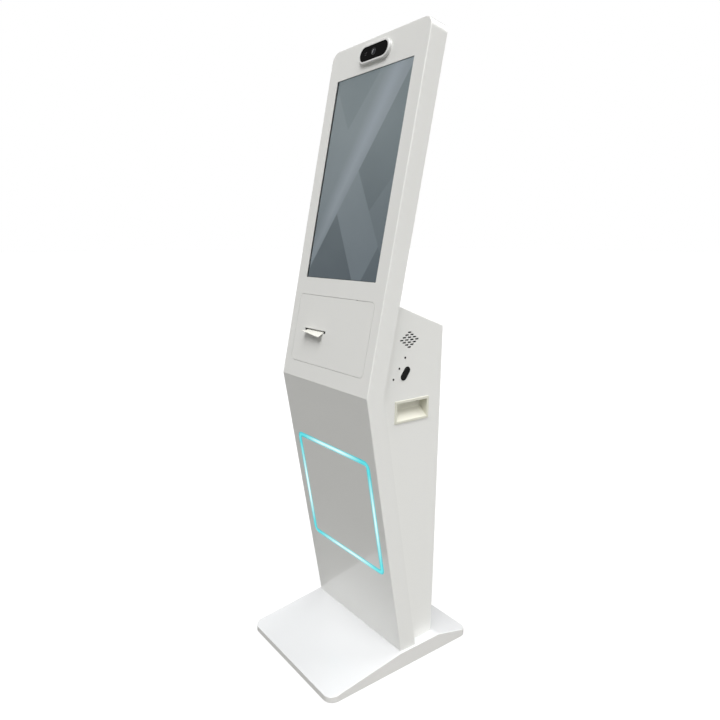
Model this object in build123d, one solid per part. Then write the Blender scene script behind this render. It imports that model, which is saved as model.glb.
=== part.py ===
from build123d import *
import math
import os

# Floor-standing self-service kiosk: a bent sheet-steel front shell with a portrait touchscreen,
# a ticket printer behind a small door, a light ring, and a service cabinet at the back.
# Frame: +X to the viewer's right, the front faces -Y, +Z up, origin on the floor under the base.

os.makedirs("parts", exist_ok=True)

# ---------------------------------------------------------------- driving dimensions (mm)
SHELL_WIDTH = 380
SHELL_DEPTH = 52.5
SHEET = 2
KINK_Y = -144
KINK_Z = 784
HEAD_TILT = 11.4
HEAD_LENGTH = 893
LEG_TILT = 10.4
HEAD_CORNER_R = 26
RETURN_FLANGE = 30
FRONT_EDGE_R = 2.6
HALF = SHELL_WIDTH / 2

COVER_BOTTOM = 240
COVER_HALF = HALF - RETURN_FLANGE - 0.8
COVER_SCREW_V = (262, 460, 658, 856)
RAIL_W = 14

BASE_WIDTH = 392
BASE_LENGTH = 510
BASE_CORNER_R = 28
BASE_RIM_BOTTOM = 1
BASE_RIM_TOP = 16.2
BASE_TOP = 47.6
BASE_FLAT_FRONT = -13
BASE_FLAT_BACK = 133
BASE_BEND_R = 40
BALLAST_BOTTOM = 4
BALLAST_TOP = 12
FIX_X = (-145, 145)
FIX_Y = (20, 105)
BOLT_R = 4
ANCHOR_X = (-100, 100)
ANCHOR_R = 6.5

CABINET_HALF = 167.5
CABINET_BACK = 128.4
CABINET_BACK_TOP = 938.4
CABINET_FRONT_TOP = 1005
CABINET_FLOOR = 3
TRAY_Y = 58
VIDEO_X = 36
VIDEO_DEPTH = 44

SCREEN_W = 298.7
SCREEN_H = 531
SCREEN_BOTTOM = 277.7
SCREEN_V = SCREEN_BOTTOM + SCREEN_H / 2
GLASS_D = SHEET + 1
GLASS_T = 3.2
LCD_W = 317
LCD_H = 539
LCD_D = GLASS_D + GLASS_T + 0.8
LCD_T = 14

CAMERA_V = 851
CAMERA_W = 120
CAMERA_H = 49
CAMERA_PROUD = 8
CAMERA_WINDOW_W = 108
CAMERA_WINDOW_H = 37

DOOR_W = 320
DOOR_BOTTOM = 45
DOOR_TOP = 230
DOOR_CORNER_R = 12.2
DOOR_GAP = 0.8
DOOR_PIVOT_V = DOOR_BOTTOM + 14
DOOR_PIVOT_DEPTH = 5
DOOR_FLANGE = 16

SLOT_X = -67
SLOT_V = 135.3
SLOT_W = 96.7
SLOT_H = 6.6
PAPER_W = 80
PAPER_PATH_ANGLE = 38
TICKET_OUT = 20
TICKET_IN = 21
PLATEN_R = 8
NIP_S = -34
BLADE_S = -22
ROLL_R = 38
ROLL_V = 88
ROLL_DEPTH = 92
SPINDLE_R = 6
SHAFT_R = 3
PLATEN_W = -PLATEN_R - 0.15
CHEEK_IN = PAPER_W / 2 + 6
CHEEK_T = 2
PRINTER_BACK = 58
BUTTON_X = SLOT_X + CHEEK_IN + CHEEK_T + 39
BUTTON_V = 167

RING_W = 311.6
RING_H = 326
RING_BAND = 15.5
RING_R = 13
RING_V = -347.8
LED_COUNT = 12

REAR_DOOR_HALF = 144
REAR_DOOR_BOTTOM = 151
REAR_DOOR_TOP = 904
REAR_DOOR_GAP = 1
REAR_DOOR_FLANGE = 12
REAR_PIVOT_X = -REAR_DOOR_HALF + 14
REAR_PIVOT_Y = CABINET_BACK - 5
LOCK_X = 122
LOCK_Z = 520
FAN_Z = 840
FAN_SIZE = 80
FAN_DEPTH = 25
FAN_BLADES = 7
INLET_X = 60
INLET_Z = 98
INLET_W = 28
INLET_H = 21
SWITCH_X = 20
SWITCH_W = 19.2
SWITCH_H = 13
ROCKER_TILT = 9

HANDLE_Y = 25.4
HANDLE_Z = 726
HANDLE_W = 117.5
HANDLE_H = 60
HANDLE_DEPTH = 27
SPEAKER_Y = 10.3
SPEAKER_Z = 911
PORT_Y = -0.9
PORT_Z = 825.6
PORT_L = 38.5
PORT_W = 19
PORT_ANGLE = 54
NUT_SPACING = 32.1
NUT_Y = -21.6
NUT_Z = 840.4
NUT_HOLE_R = 2.1
NUT_SHANK_R = 3

# ---------------------------------------------------------------- frames of the two front panels
head_sin = math.sin(math.radians(HEAD_TILT))
head_cos = math.cos(math.radians(HEAD_TILT))
leg_sin = math.sin(math.radians(LEG_TILT))
leg_cos = math.cos(math.radians(LEG_TILT))
KINK = (0, KINK_Y, KINK_Z)
HEAD = Plane(origin=KINK, x_dir=(1, 0, 0), z_dir=(0, -head_cos, head_sin))
LEG = Plane(origin=KINK, x_dir=(1, 0, 0), z_dir=(0, -leg_cos, -leg_sin))
RIGHT_SIDE = Plane(origin=(CABINET_HALF, 0, 0), x_dir=(0, 1, 0), z_dir=(1, 0, 0))
BACK_FACE = Plane(origin=(0, CABINET_BACK, 0), x_dir=(-1, 0, 0), z_dir=(0, 1, 0))


def save(name, *solids):
    """Write one node; several solids make a group in the same node."""
    shape = solids[0] if len(solids) == 1 else Compound(children=list(solids))
    shape.label = name
    export_step(shape, "parts/" + name + ".step")


def block(x0, x1, y0, y1, z0, z1):
    """Box between two corners in the part's own frame."""
    centre = Pos((x0 + x1) / 2, (y0 + y1) / 2, (z0 + z1) / 2)
    return centre * Box(x1 - x0, y1 - y0, z1 - z0)


def on_panel(plane, x0, x1, v0, v1, d0, d1):
    """Box on a panel: across x, up the panel v, and d behind its front face."""
    centre = Pos((x0 + x1) / 2, (v0 + v1) / 2, -(d0 + d1) / 2)
    return plane.location * centre * Box(x1 - x0, v1 - v0, d1 - d0)


def plate(plane, sketch, x, v, d0, d1):
    """A flat outline standing at (x, v) on a plane, from depth d0 to depth d1."""
    return plane.location * Pos(x, v, -d1) * extrude(sketch, d1 - d0)


def prism(points, half_width):
    """Side outline, as (y, z) points, extruded across the width."""
    outline = make_face(Plane.YZ * Polyline(*points, close=True))
    return extrude(outline, half_width, both=True)


def head_point(v, depth):
    """(y, z) of a point v up the head and depth behind its face."""
    return (KINK_Y + v * head_sin + depth * head_cos, KINK_Z + v * head_cos - depth * head_sin)


def leg_point(v, depth):
    """(y, z) of a point v up the leg panel (negative below the kink) and depth behind it."""
    return (KINK_Y - v * leg_sin + depth * leg_cos, KINK_Z + v * leg_cos + depth * leg_sin)


def kink_point(depth):
    """(y, z) where the head and leg planes at one depth meet."""
    half_bend = math.radians((HEAD_TILT + LEG_TILT) / 2)
    lean = math.radians((LEG_TILT - HEAD_TILT) / 2)
    reach = depth / math.cos(half_bend)
    return (KINK_Y + reach * math.cos(lean), KINK_Z + reach * math.sin(lean))


def leg_at_height(z, depth):
    """(y, z) on the leg plane at one depth, at a given height."""
    v = (z - KINK_Z - depth * leg_sin) / leg_cos
    return leg_point(v, depth)


def head_at_height(z, depth):
    """(y, z) on the head plane at one depth, at a given height."""
    v = (z - KINK_Z + depth * head_sin) / head_cos
    return head_point(v, depth)


def both_sides(solid):
    """A right-hand piece and its mirror on the left."""
    return solid, mirror(solid, about=Plane.YZ)


# ---------------------------------------------------------------- base
def base_body(inset, bottom, top_drop):
    """Wedge-topped block with rounded corners, shrunk by inset."""
    half_l = BASE_LENGTH / 2
    profile = [
        (-half_l, bottom), (-half_l, BASE_RIM_TOP - top_drop), (BASE_FLAT_FRONT, BASE_TOP - top_drop),
        (BASE_FLAT_BACK, BASE_TOP - top_drop), (half_l, BASE_RIM_TOP - top_drop), (half_l, bottom),
    ]
    wedge = prism(profile, BASE_WIDTH / 2)
    flat = BASE_TOP - top_drop
    bends = wedge.edges().filter_by(Axis.X).filter_by_position(Axis.Z, flat - 0.01, flat + 0.01)
    wedge = fillet(bends, BASE_BEND_R - top_drop)
    plan = RectangleRounded(BASE_WIDTH - 2 * inset, BASE_LENGTH - 2 * inset, BASE_CORNER_R - inset)
    return wedge & extrude(plan, BASE_TOP + 1)


def drill(solid, xs, radius):
    """Vertical holes at the two fixing rows."""
    for x in xs:
        for y in FIX_Y:
            solid -= Pos(x, y, BASE_TOP) * Cylinder(radius, 4 * BASE_TOP)
    return solid


def base_cover():
    cover = base_body(0, BASE_RIM_BOTTOM, 0)
    top_edges = cover.edges().filter_by_position(Axis.Z, BASE_RIM_TOP - 0.01, BASE_TOP + 1)
    rim = [e for e in top_edges if abs(e.center().Z - BASE_RIM_TOP) < 4 or abs(e.center().X) > 190]
    cover = fillet(rim, 1.6)
    cover -= base_body(SHEET, BASE_RIM_BOTTOM - 1, SHEET)
    return drill(drill(cover, FIX_X, BOLT_R + 0.5), ANCHOR_X, ANCHOR_R)


def base_plate():
    plan = RectangleRounded(BASE_WIDTH - 8, BASE_LENGTH - 8, BASE_CORNER_R - 4)
    ballast = Pos(0, 0, BALLAST_BOTTOM) * extrude(plan, BALLAST_TOP - BALLAST_BOTTOM)
    return drill(drill(ballast, FIX_X, BOLT_R + 0.5), ANCHOR_X, ANCHOR_R)


def base_feet():
    pads = []
    for x in (-165, 165):
        for y in (-222, 0, 222):
            pads.append(Pos(x, y, 0) * extrude(Circle(16), BALLAST_BOTTOM))
    return pads


def base_spacers():
    tubes = []
    for x in FIX_X:
        for y in FIX_Y:
            ring = Circle(11) - Circle(BOLT_R + 0.5)
            tubes.append(Pos(x, y, BALLAST_TOP) * extrude(ring, BASE_TOP - SHEET - BALLAST_TOP))
    return tubes


def base_bolts():
    """M8 hexagon bolts down through the cabinet floor, with washers' room under the heads."""
    bolts = []
    for x in FIX_X:
        for y in FIX_Y:
            floor = SHEET if y == FIX_Y[0] else CABINET_FLOOR
            seat = BASE_TOP + floor
            shank = Pos(x, y, BALLAST_BOTTOM + 1) * extrude(Circle(BOLT_R), seat - BALLAST_BOTTOM - 1)
            bolts.append(shank + Pos(x, y, seat) * extrude(RegularPolygon(7.5, 6), 5.3))
    return bolts


def cabinet_floor():
    front = leg_at_height(BASE_TOP, SHELL_DEPTH)[0] + 2
    floor = block(-165, 165, front, CABINET_BACK - SHEET - 0.2, BASE_TOP, BASE_TOP + CABINET_FLOOR)
    return drill(drill(floor, FIX_X, BOLT_R + 0.5), ANCHOR_X, ANCHOR_R)


# ---------------------------------------------------------------- front shell
def shell_profile(inset):
    """Side outline of the bent slab, drawn in by inset on every side."""
    back = SHELL_DEPTH - inset
    bottom = BASE_TOP + inset
    top = HEAD_LENGTH - inset
    return [
        leg_at_height(bottom, inset), kink_point(inset), head_point(top, inset),
        head_point(top, back), kink_point(back), leg_at_height(bottom, back),
    ]


def head_corner_cut(radius, half, top):
    """What the rounded upper corners remove from a slab of this half width."""
    corner = RectangleRounded(2 * half, 2 * half, radius)
    square = Rectangle(2 * half + 8, 2 * half + 8) - corner
    upper = square & Pos(0, half) * Rectangle(2 * half + 8, half)
    return plate(HEAD, upper, 0, top - half, -20, SHELL_DEPTH + 20)


def ring_outline(grow):
    """Rounded-square outline of the light ring's centre line, grown or shrunk."""
    return RectangleRounded(RING_W + 2 * grow, RING_H + 2 * grow, RING_R + grow)


def front_shell():
    shell = prism(shell_profile(0), HALF) - head_corner_cut(HEAD_CORNER_R, HALF, HEAD_LENGTH)
    on_head = [e for e in shell.edges() if abs(HEAD.to_local_coords(e.center()).Z) < 0.2]
    on_leg = [e for e in shell.edges() if abs(LEG.to_local_coords(e.center()).Z) < 0.2]
    front = [e for e in on_head + on_leg if abs(e.center().X) > 1 or e.center().Z > 1500]
    shell = fillet(front, FRONT_EDGE_R)
    cavity = prism(shell_profile(SHEET), HALF - SHEET)
    cavity -= head_corner_cut(HEAD_CORNER_R - SHEET, HALF - SHEET, HEAD_LENGTH - SHEET)
    shell -= cavity
    opening = HALF - RETURN_FLANGE
    inner, outer = SHELL_DEPTH - 4, SHELL_DEPTH + 4
    low, high = BASE_TOP + SHEET + 10, HEAD_LENGTH - RETURN_FLANGE
    shell -= prism([leg_at_height(low, inner), kink_point(inner), head_point(high, inner),
                    head_point(high, outer), kink_point(outer), leg_at_height(low, outer)], opening)
    shell -= plate(HEAD, RectangleRounded(SCREEN_W, SCREEN_H, 1.5), 0, SCREEN_BOTTOM + SCREEN_H / 2, -1, 3)
    shell -= plate(HEAD, SlotOverall(CAMERA_W - 12, CAMERA_H - 12), 0, CAMERA_V, -1, 3)
    door_hole = RectangleRounded(DOOR_W + 2 * DOOR_GAP, DOOR_TOP - DOOR_BOTTOM + 2 * DOOR_GAP,
                                 DOOR_CORNER_R + DOOR_GAP)
    shell -= plate(HEAD, door_hole, 0, (DOOR_TOP + DOOR_BOTTOM) / 2, -1, 3)
    shell -= plate(LEG, ring_outline(RING_BAND / 2), 0, RING_V, -1, 3)
    return drill(drill(shell, FIX_X, BOLT_R + 0.5), ANCHOR_X, ANCHOR_R)


def head_back_cover():
    top = HEAD_LENGTH - RETURN_FLANGE - 0.8
    height = top - COVER_BOTTOM
    cover = plate(HEAD, RectangleRounded(2 * COVER_HALF, height, 3), 0, COVER_BOTTOM + height / 2,
                  SHELL_DEPTH - SHEET, SHELL_DEPTH)
    for row in range(9):
        for column in range(-3, 4):
            for v in (HEAD_LENGTH - 140, COVER_BOTTOM + 70):
                cover -= plate(HEAD, SlotOverall(26, 4), column * 34, v + row * 9,
                               SHELL_DEPTH - 4, SHELL_DEPTH + 2)
    for x in (-COVER_HALF + 7, COVER_HALF - 7):
        for v in COVER_SCREW_V:
            cover -= plate(HEAD, Circle(2.2), x, v, SHELL_DEPTH - 4, SHELL_DEPTH + 2)
    return cover


def cover_rails():
    """Two tapped strips inside the return flanges that the back cover screws to."""
    rails = []
    inner = COVER_HALF - RAIL_W
    for sign in (-1, 1):
        x0, x1 = sorted((sign * inner, sign * (inner + RAIL_W + 16)))
        rail = on_panel(HEAD, x0, x1, COVER_BOTTOM, HEAD_LENGTH - RETURN_FLANGE - 4,
                        SHELL_DEPTH - 2 * SHEET, SHELL_DEPTH - SHEET)
        for v in COVER_SCREW_V:
            rail -= plate(HEAD, Circle(2.05), sign * (COVER_HALF - 7), v, SHELL_DEPTH - 6, SHELL_DEPTH)
        rails.append(rail)
    return rails


def cover_screws():
    screws = []
    for x in (-COVER_HALF + 7, COVER_HALF - 7):
        for v in COVER_SCREW_V:
            shank = plate(HEAD, Circle(2), x, v, SHELL_DEPTH - 9, SHELL_DEPTH)
            head = plate(HEAD, Circle(3.8) - RegularPolygon(1.6, 6), x, v, SHELL_DEPTH, SHELL_DEPTH + 2.2)
            screws.append(shank + head)
    return screws


# ---------------------------------------------------------------- screen and camera
def screen_gasket():
    frame = Rectangle(LCD_W + 4, LCD_H + 4) - Rectangle(SCREEN_W + 1.2, SCREEN_H + 1.2)
    return plate(HEAD, frame, 0, SCREEN_V, SHEET, GLASS_D)


def touch_glass():
    return plate(HEAD, RectangleRounded(LCD_W + 2, LCD_H + 2, 2), 0, SCREEN_V, GLASS_D, GLASS_D + GLASS_T)


def lcd_panel():
    body = plate(HEAD, Rectangle(LCD_W, LCD_H), 0, SCREEN_V, LCD_D, LCD_D + LCD_T)
    tray = plate(HEAD, Rectangle(LCD_W - 60, LCD_H - 120), 0, SCREEN_V, LCD_D + LCD_T, LCD_D + LCD_T + 3)
    return body + tray


def screen_rails():
    """Two folded rails that clamp the glass and the panel to the shell."""
    rails = []
    for sign in (-1, 1):
        wall = sorted((sign * 162, sign * 164))
        foot = sorted((sign * 162, sign * 180))
        lip = sorted((sign * 146, sign * 164))
        back = LCD_D + LCD_T + 0.2
        rail = on_panel(HEAD, *wall, SCREEN_BOTTOM, SCREEN_BOTTOM + SCREEN_H, SHEET, back + 2)
        rail += on_panel(HEAD, *foot, SCREEN_BOTTOM, SCREEN_BOTTOM + SCREEN_H, SHEET, 2 * SHEET)
        rail += on_panel(HEAD, *lip, SCREEN_BOTTOM, SCREEN_BOTTOM + SCREEN_H, back, back + 2)
        rails.append(rail)
    return rails


def display_board():
    back = LCD_D + LCD_T + 3
    board = on_panel(HEAD, -70, 70, SCREEN_V - 120, SCREEN_V - 40, back + 4, back + 5.6)
    for x in (-62, 62):
        for v in (SCREEN_V - 114, SCREEN_V - 46):
            board += plate(HEAD, Circle(3), x, v, back, back + 4)
    board += on_panel(HEAD, -20, 15, SCREEN_V - 95, SCREEN_V - 65, back + 5.6, back + 10)
    return board + on_panel(HEAD, 25, 48, SCREEN_V - 116, SCREEN_V - 98, back + 5.6, back + 13)


def camera_housing():
    rim = plate(HEAD, SlotOverall(CAMERA_W, CAMERA_H), 0, CAMERA_V, -CAMERA_PROUD, 0)
    rim = fillet(rim.faces().sort_by(lambda f: HEAD.to_local_coords(f.center()).Z)[-1].edges(), 3)
    rim += plate(HEAD, SlotOverall(CAMERA_W - 13, CAMERA_H - 13), 0, CAMERA_V, 0, 6)
    window = SlotOverall(CAMERA_WINDOW_W, CAMERA_WINDOW_H)
    rim -= plate(HEAD, window, 0, CAMERA_V, -CAMERA_PROUD - 1, -CAMERA_PROUD + 2.5)
    return rim - plate(HEAD, SlotOverall(CAMERA_WINDOW_W - 12, CAMERA_WINDOW_H - 12), 0, CAMERA_V, -6, 7)


def camera_window():
    outline = SlotOverall(CAMERA_WINDOW_W - 0.4, CAMERA_WINDOW_H - 0.4)
    return plate(HEAD, outline, 0, CAMERA_V, -CAMERA_PROUD + 0.5, -CAMERA_PROUD + 2.5)


def camera_module():
    """Lens barrel soldered to its circuit board."""
    barrel = plate(HEAD, Circle(8) - Circle(5.5), 0, CAMERA_V, -CAMERA_PROUD + 3, 8)
    barrel += plate(HEAD, Circle(8), 0, CAMERA_V, -2, 8)
    board = plate(HEAD, RectangleRounded(92, 34, 3), 0, CAMERA_V, 8, 9.6)
    return barrel + board + plate(HEAD, Rectangle(14, 8), 30, CAMERA_V, 9.6, 14)


# ---------------------------------------------------------------- printer door and printer
path_sin = math.sin(math.radians(PAPER_PATH_ANGLE))
path_cos = math.cos(math.radians(PAPER_PATH_ANGLE))
PATH = HEAD.location * Pos(SLOT_X, SLOT_V, -SHEET / 2) * Rot(PAPER_PATH_ANGLE, 0, 0)


def on_path(x0, x1, s0, s1, w0, w1):
    """Box along the paper path: s outwards from the slot, w above the paper."""
    centre = Pos((x0 + x1) / 2, (w0 + w1) / 2, (s0 + s1) / 2)
    return PATH * centre * Box(x1 - x0, w1 - w0, s1 - s0)


def path_rod(x0, x1, s, w, radius):
    """Round bar across the paper path."""
    return PATH * Pos((x0 + x1) / 2, w, s) * Rot(0, 90, 0) * Cylinder(radius, x1 - x0)


def path_point(s, w):
    """(v, depth) of a point on the paper path."""
    return (SLOT_V - s * path_sin + w * path_cos, SHEET / 2 - s * path_cos - w * path_sin)


def cross_rod(x0, x1, v, depth, radius):
    """Round bar across the head, at v and depth."""
    return HEAD.location * Pos((x0 + x1) / 2, v, -depth) * Rot(0, 90, 0) * Cylinder(radius, x1 - x0)


def printer_door():
    half = DOOR_W / 2
    height = DOOR_TOP - DOOR_BOTTOM
    middle = (DOOR_TOP + DOOR_BOTTOM) / 2
    door = plate(HEAD, RectangleRounded(DOOR_W, height, DOOR_CORNER_R), 0, middle, 0, SHEET)
    door += on_panel(HEAD, -half + 14, half - 14, DOOR_TOP - SHEET, DOOR_TOP, SHEET, 12)
    door += on_panel(HEAD, -half + 14, half - 14, DOOR_BOTTOM, DOOR_BOTTOM + SHEET, SHEET, 9)
    for sign in (-1, 1):
        x0, x1 = sorted((sign * half, sign * (half - SHEET)))
        door += on_panel(HEAD, x0, x1, DOOR_BOTTOM + 7, DOOR_TOP - 14, 0.5, DOOR_FLANGE)
    corner = plate(HEAD, Rectangle(DOOR_W, height) - RectangleRounded(DOOR_W, height, DOOR_CORNER_R),
                   0, middle, 0, SHEET)
    door -= corner
    door -= cross_rod(-half - 4, half + 4, DOOR_PIVOT_V, DOOR_PIVOT_DEPTH, 2.55)
    return door - plate(HEAD, RectangleRounded(SLOT_W, SLOT_H, 1.2), SLOT_X, SLOT_V, -1, 3)


def door_pivots():
    """Fixed ears with the two pins that the printer door turns on."""
    pivots = []
    for sign in (-1, 1):
        foot = sorted((sign * 164, sign * 184))
        ear = sorted((sign * 164, sign * 166))
        pin = sorted((sign * 154, sign * 165))
        pivot = on_panel(HEAD, *foot, DOOR_PIVOT_V - 10, DOOR_PIVOT_V + 10, SHEET, 2 * SHEET)
        pivot += on_panel(HEAD, *ear, DOOR_PIVOT_V - 10, DOOR_PIVOT_V + 10, SHEET, 14)
        pivots.append(pivot + cross_rod(*pin, DOOR_PIVOT_V, DOOR_PIVOT_DEPTH, 2.5))
    return pivots


def door_magnets():
    return [on_panel(HEAD, x - 16, x + 16, DOOR_TOP + 2, DOOR_TOP + 16, SHEET, 14) for x in (-90, 90)]


def printer_frame():
    """Cheeks, tie plate and door flanges of the print mechanism, one folded sheet."""
    frame = None
    top_v = path_point(NIP_S - 12, 14)[0]
    for sign in (-1, 1):
        x0, x1 = sorted((SLOT_X + sign * CHEEK_IN, SLOT_X + sign * (CHEEK_IN + CHEEK_T)))
        cheek = on_panel(HEAD, x0, x1, 112, top_v, SHEET, PRINTER_BACK)
        foot = sorted((SLOT_X + sign * CHEEK_IN, SLOT_X + sign * (CHEEK_IN + 14)))
        cheek += on_panel(HEAD, *foot, 146, top_v, SHEET, 2 * SHEET)
        cheek += on_panel(HEAD, *foot, 112, 126, SHEET, 2 * SHEET)
        frame = cheek if frame is None else frame + cheek
    reach = CHEEK_IN + CHEEK_T
    frame += on_panel(HEAD, SLOT_X - reach, SLOT_X + reach, top_v - 2, top_v, 12, PRINTER_BACK)
    frame -= path_rod(-reach - 4, reach + 4, NIP_S, PLATEN_W, SHAFT_R + 0.05)
    return frame - on_path(-reach - 4, reach + 4, BLADE_S - 0.9, BLADE_S + 0.9, -20, 1)


def platen_roller():
    roller = path_rod(-PAPER_W / 2 - 1, PAPER_W / 2 + 1, NIP_S, PLATEN_W, PLATEN_R)
    return roller + path_rod(-CHEEK_IN - 5, CHEEK_IN + 3.5, NIP_S, PLATEN_W, SHAFT_R)


def print_head():
    wide = CHEEK_IN - 0.2
    head = on_path(-wide, wide, NIP_S - 6, NIP_S + 7, 0.2, 5)
    return head + on_path(-wide + 6, wide - 6, NIP_S - 6, NIP_S + 4, 5, 10)


def fixed_blade():
    wide = CHEEK_IN - 0.2
    return on_path(-wide, wide, BLADE_S + 0.6, BLADE_S + 1.8, 0.4, 12)


def cutter_blade():
    wide = CHEEK_IN + 4
    blade = on_path(-PAPER_W / 2 - 2, PAPER_W / 2 + 2, BLADE_S - 0.4, BLADE_S + 0.4, -12, -2)
    return blade + on_path(-wide, wide, BLADE_S - 0.4, BLADE_S + 0.4, -12, -7)


def feed_motor():
    """Stepper on the left cheek, in line with the platen."""
    x1 = -CHEEK_IN - CHEEK_T
    motor = path_rod(x1 - 22, x1, NIP_S, PLATEN_W, 10)
    return motor - path_rod(x1 - 5, x1 + 1, NIP_S, PLATEN_W, SHAFT_R + 0.3)


def printer_board():
    x0 = SLOT_X + CHEEK_IN + CHEEK_T + 14
    board = on_panel(HEAD, x0, x0 + 70, 100, 190, 6, 7.6)
    for x in (x0 + 6, x0 + 64):
        for v in (106, 184):
            board += plate(HEAD, Circle(3), x, v, SHEET, 6)
    board += on_panel(HEAD, x0 + 20, x0 + 40, 130, 150, 7.6, 10)
    board += on_panel(HEAD, BUTTON_X - 7, BUTTON_X + 7, BUTTON_V - 7, BUTTON_V + 7, 7.6, 14)
    return board - plate(HEAD, Circle(2.3), BUTTON_X, BUTTON_V, 11, 15)


def feed_button():
    cap = plate(HEAD, Circle(4), BUTTON_X, BUTTON_V, 16, 20)
    return cap + plate(HEAD, Circle(2), BUTTON_X, BUTTON_V, 14.2, 16)


def roll_holder():
    """Two arms off the door with the spindle between them."""
    reach = PAPER_W / 2 + 8
    holder = cross_rod(SLOT_X - reach, SLOT_X + reach, ROLL_V, ROLL_DEPTH, SPINDLE_R - 0.06)
    for sign in (-1, 1):
        arm = sorted((SLOT_X + sign * (reach - 2), SLOT_X + sign * reach))
        foot = sorted((SLOT_X + sign * (reach - 2), SLOT_X + sign * (reach + 14)))
        holder += on_panel(HEAD, *arm, ROLL_V - 14, ROLL_V + 14, SHEET, ROLL_DEPTH + 12)
        holder += on_panel(HEAD, *foot, ROLL_V - 14, ROLL_V + 14, SHEET, 2 * SHEET)
    return holder


def paper_roll():
    half = PAPER_W / 2
    roll = cross_rod(SLOT_X - half, SLOT_X + half, ROLL_V, ROLL_DEPTH, ROLL_R)
    return roll - cross_rod(SLOT_X - half - 1, SLOT_X + half + 1, ROLL_V, ROLL_DEPTH, SPINDLE_R)


def paper_web():
    """Paper from its tangent point on the roll, over a bend, to the cutter."""
    cut = path_point(BLADE_S - 0.8, 0)
    bend = path_point(NIP_S - 26, 0)
    up, back = bend[0] - ROLL_V, bend[1] - ROLL_DEPTH
    reach = math.hypot(up, back)
    wrap = ROLL_R + 0.8
    turn = math.atan2(back, up) + math.acos(wrap / reach)
    start = (ROLL_V + wrap * math.cos(turn), ROLL_DEPTH + wrap * math.sin(turn))
    route = [Vector(depth, v) for v, depth in (start, bend, cut)]
    sheet = trace(FilletPolyline(*route, radius=12), line_width=0.12)
    side = Plane(origin=HEAD.origin, x_dir=-HEAD.z_dir, z_dir=HEAD.x_dir)
    return side.location * Pos(0, 0, SLOT_X - PAPER_W / 2) * extrude(sheet, PAPER_W)


def ticket():
    return on_path(-PAPER_W / 2, PAPER_W / 2, -TICKET_IN + 0.3, TICKET_OUT, -0.07, 0.07)


# ---------------------------------------------------------------- light ring
def light_panel():
    """The piece of face inside the ring, with four studs that hold it to the light tray."""
    panel = plate(LEG, ring_outline(-RING_BAND / 2), 0, RING_V, 0, SHEET)
    for x in (-115, 115):
        for v in (-120, 120):
            panel += plate(LEG, RegularPolygon(5, 6), x, RING_V + v, SHEET, 20)
    return panel


def light_diffuser():
    ring = ring_outline(RING_BAND / 2 - 0.1) - ring_outline(-RING_BAND / 2 + 0.1)
    return plate(LEG, ring, 0, RING_V, 0.3, 8)


def light_tray():
    tray = plate(LEG, ring_outline(RING_BAND / 2 + 12), 0, RING_V, SHEET, 22)
    tray -= plate(LEG, ring_outline(RING_BAND / 2 + 10), 0, RING_V, SHEET - 1, 20)
    lip = ring_outline(RING_BAND / 2 + 12) - ring_outline(RING_BAND / 2 + 0.2)
    return tray + plate(LEG, lip, 0, RING_V, SHEET, 2 * SHEET)


def led_strip():
    """Ring of circuit strip with surface-mounted diodes on the centre line of the slot."""
    strip = plate(LEG, ring_outline(4) - ring_outline(-4), 0, RING_V, 18.8, 20)
    pitch = RING_W / (LED_COUNT + 1)
    for i in range(LED_COUNT):
        along = (i - (LED_COUNT - 1) / 2) * pitch
        for sign in (-1, 1):
            strip += plate(LEG, Rectangle(5, 5), along, RING_V + sign * RING_H / 2, 17.2, 18.8)
            strip += plate(LEG, Rectangle(5, 5), sign * RING_W / 2, RING_V + along, 17.2, 18.8)
    return strip


# ---------------------------------------------------------------- rear cabinet
def cabinet_profile(inset, forward):
    """Side outline of the cabinet; forward moves its open front into the shell."""
    depth = SHELL_DEPTH - forward
    top_run = CABINET_BACK - head_at_height(CABINET_FRONT_TOP, SHELL_DEPTH)[0]
    slope = (CABINET_FRONT_TOP - CABINET_BACK_TOP) / top_run
    back = CABINET_BACK - inset
    top_back = CABINET_BACK_TOP - inset * (math.sqrt(1 + slope * slope) - slope)
    front_y, front_z = head_at_height(CABINET_FRONT_TOP, depth)
    front_z = top_back + slope * (back - front_y)
    bottom = BASE_TOP - (1 if inset else 0)
    front = [leg_at_height(bottom, depth), kink_point(depth), (front_y, front_z)]
    return front + [(back, top_back), (back, bottom)]


def nut_places():
    """(y, z) of the three accessory nuts, on a slanting line."""
    step_y = NUT_SPACING * math.cos(math.radians(PORT_ANGLE))
    step_z = NUT_SPACING * math.sin(math.radians(PORT_ANGLE))
    return [(NUT_Y + i * step_y, NUT_Z + i * step_z) for i in (-1, 0, 1)]


def port_outline(inset):
    """Slanting oval of the cable port, narrowed and shortened by inset."""
    return Rot(0, 0, PORT_ANGLE) * SlotOverall(PORT_L - inset, PORT_W - inset)


def speaker_slots():
    """Diamond of short slots in front of a speaker."""
    slots = []
    for row, count in enumerate((1, 2, 3, 4, 3, 2, 1)):
        for i in range(count):
            at = Pos(SPEAKER_Y + (i - (count - 1) / 2) * 17.2, SPEAKER_Z + (3 - row) * 6.3)
            slots.append(at * SlotOverall(12.5, 4))
    return slots


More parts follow.
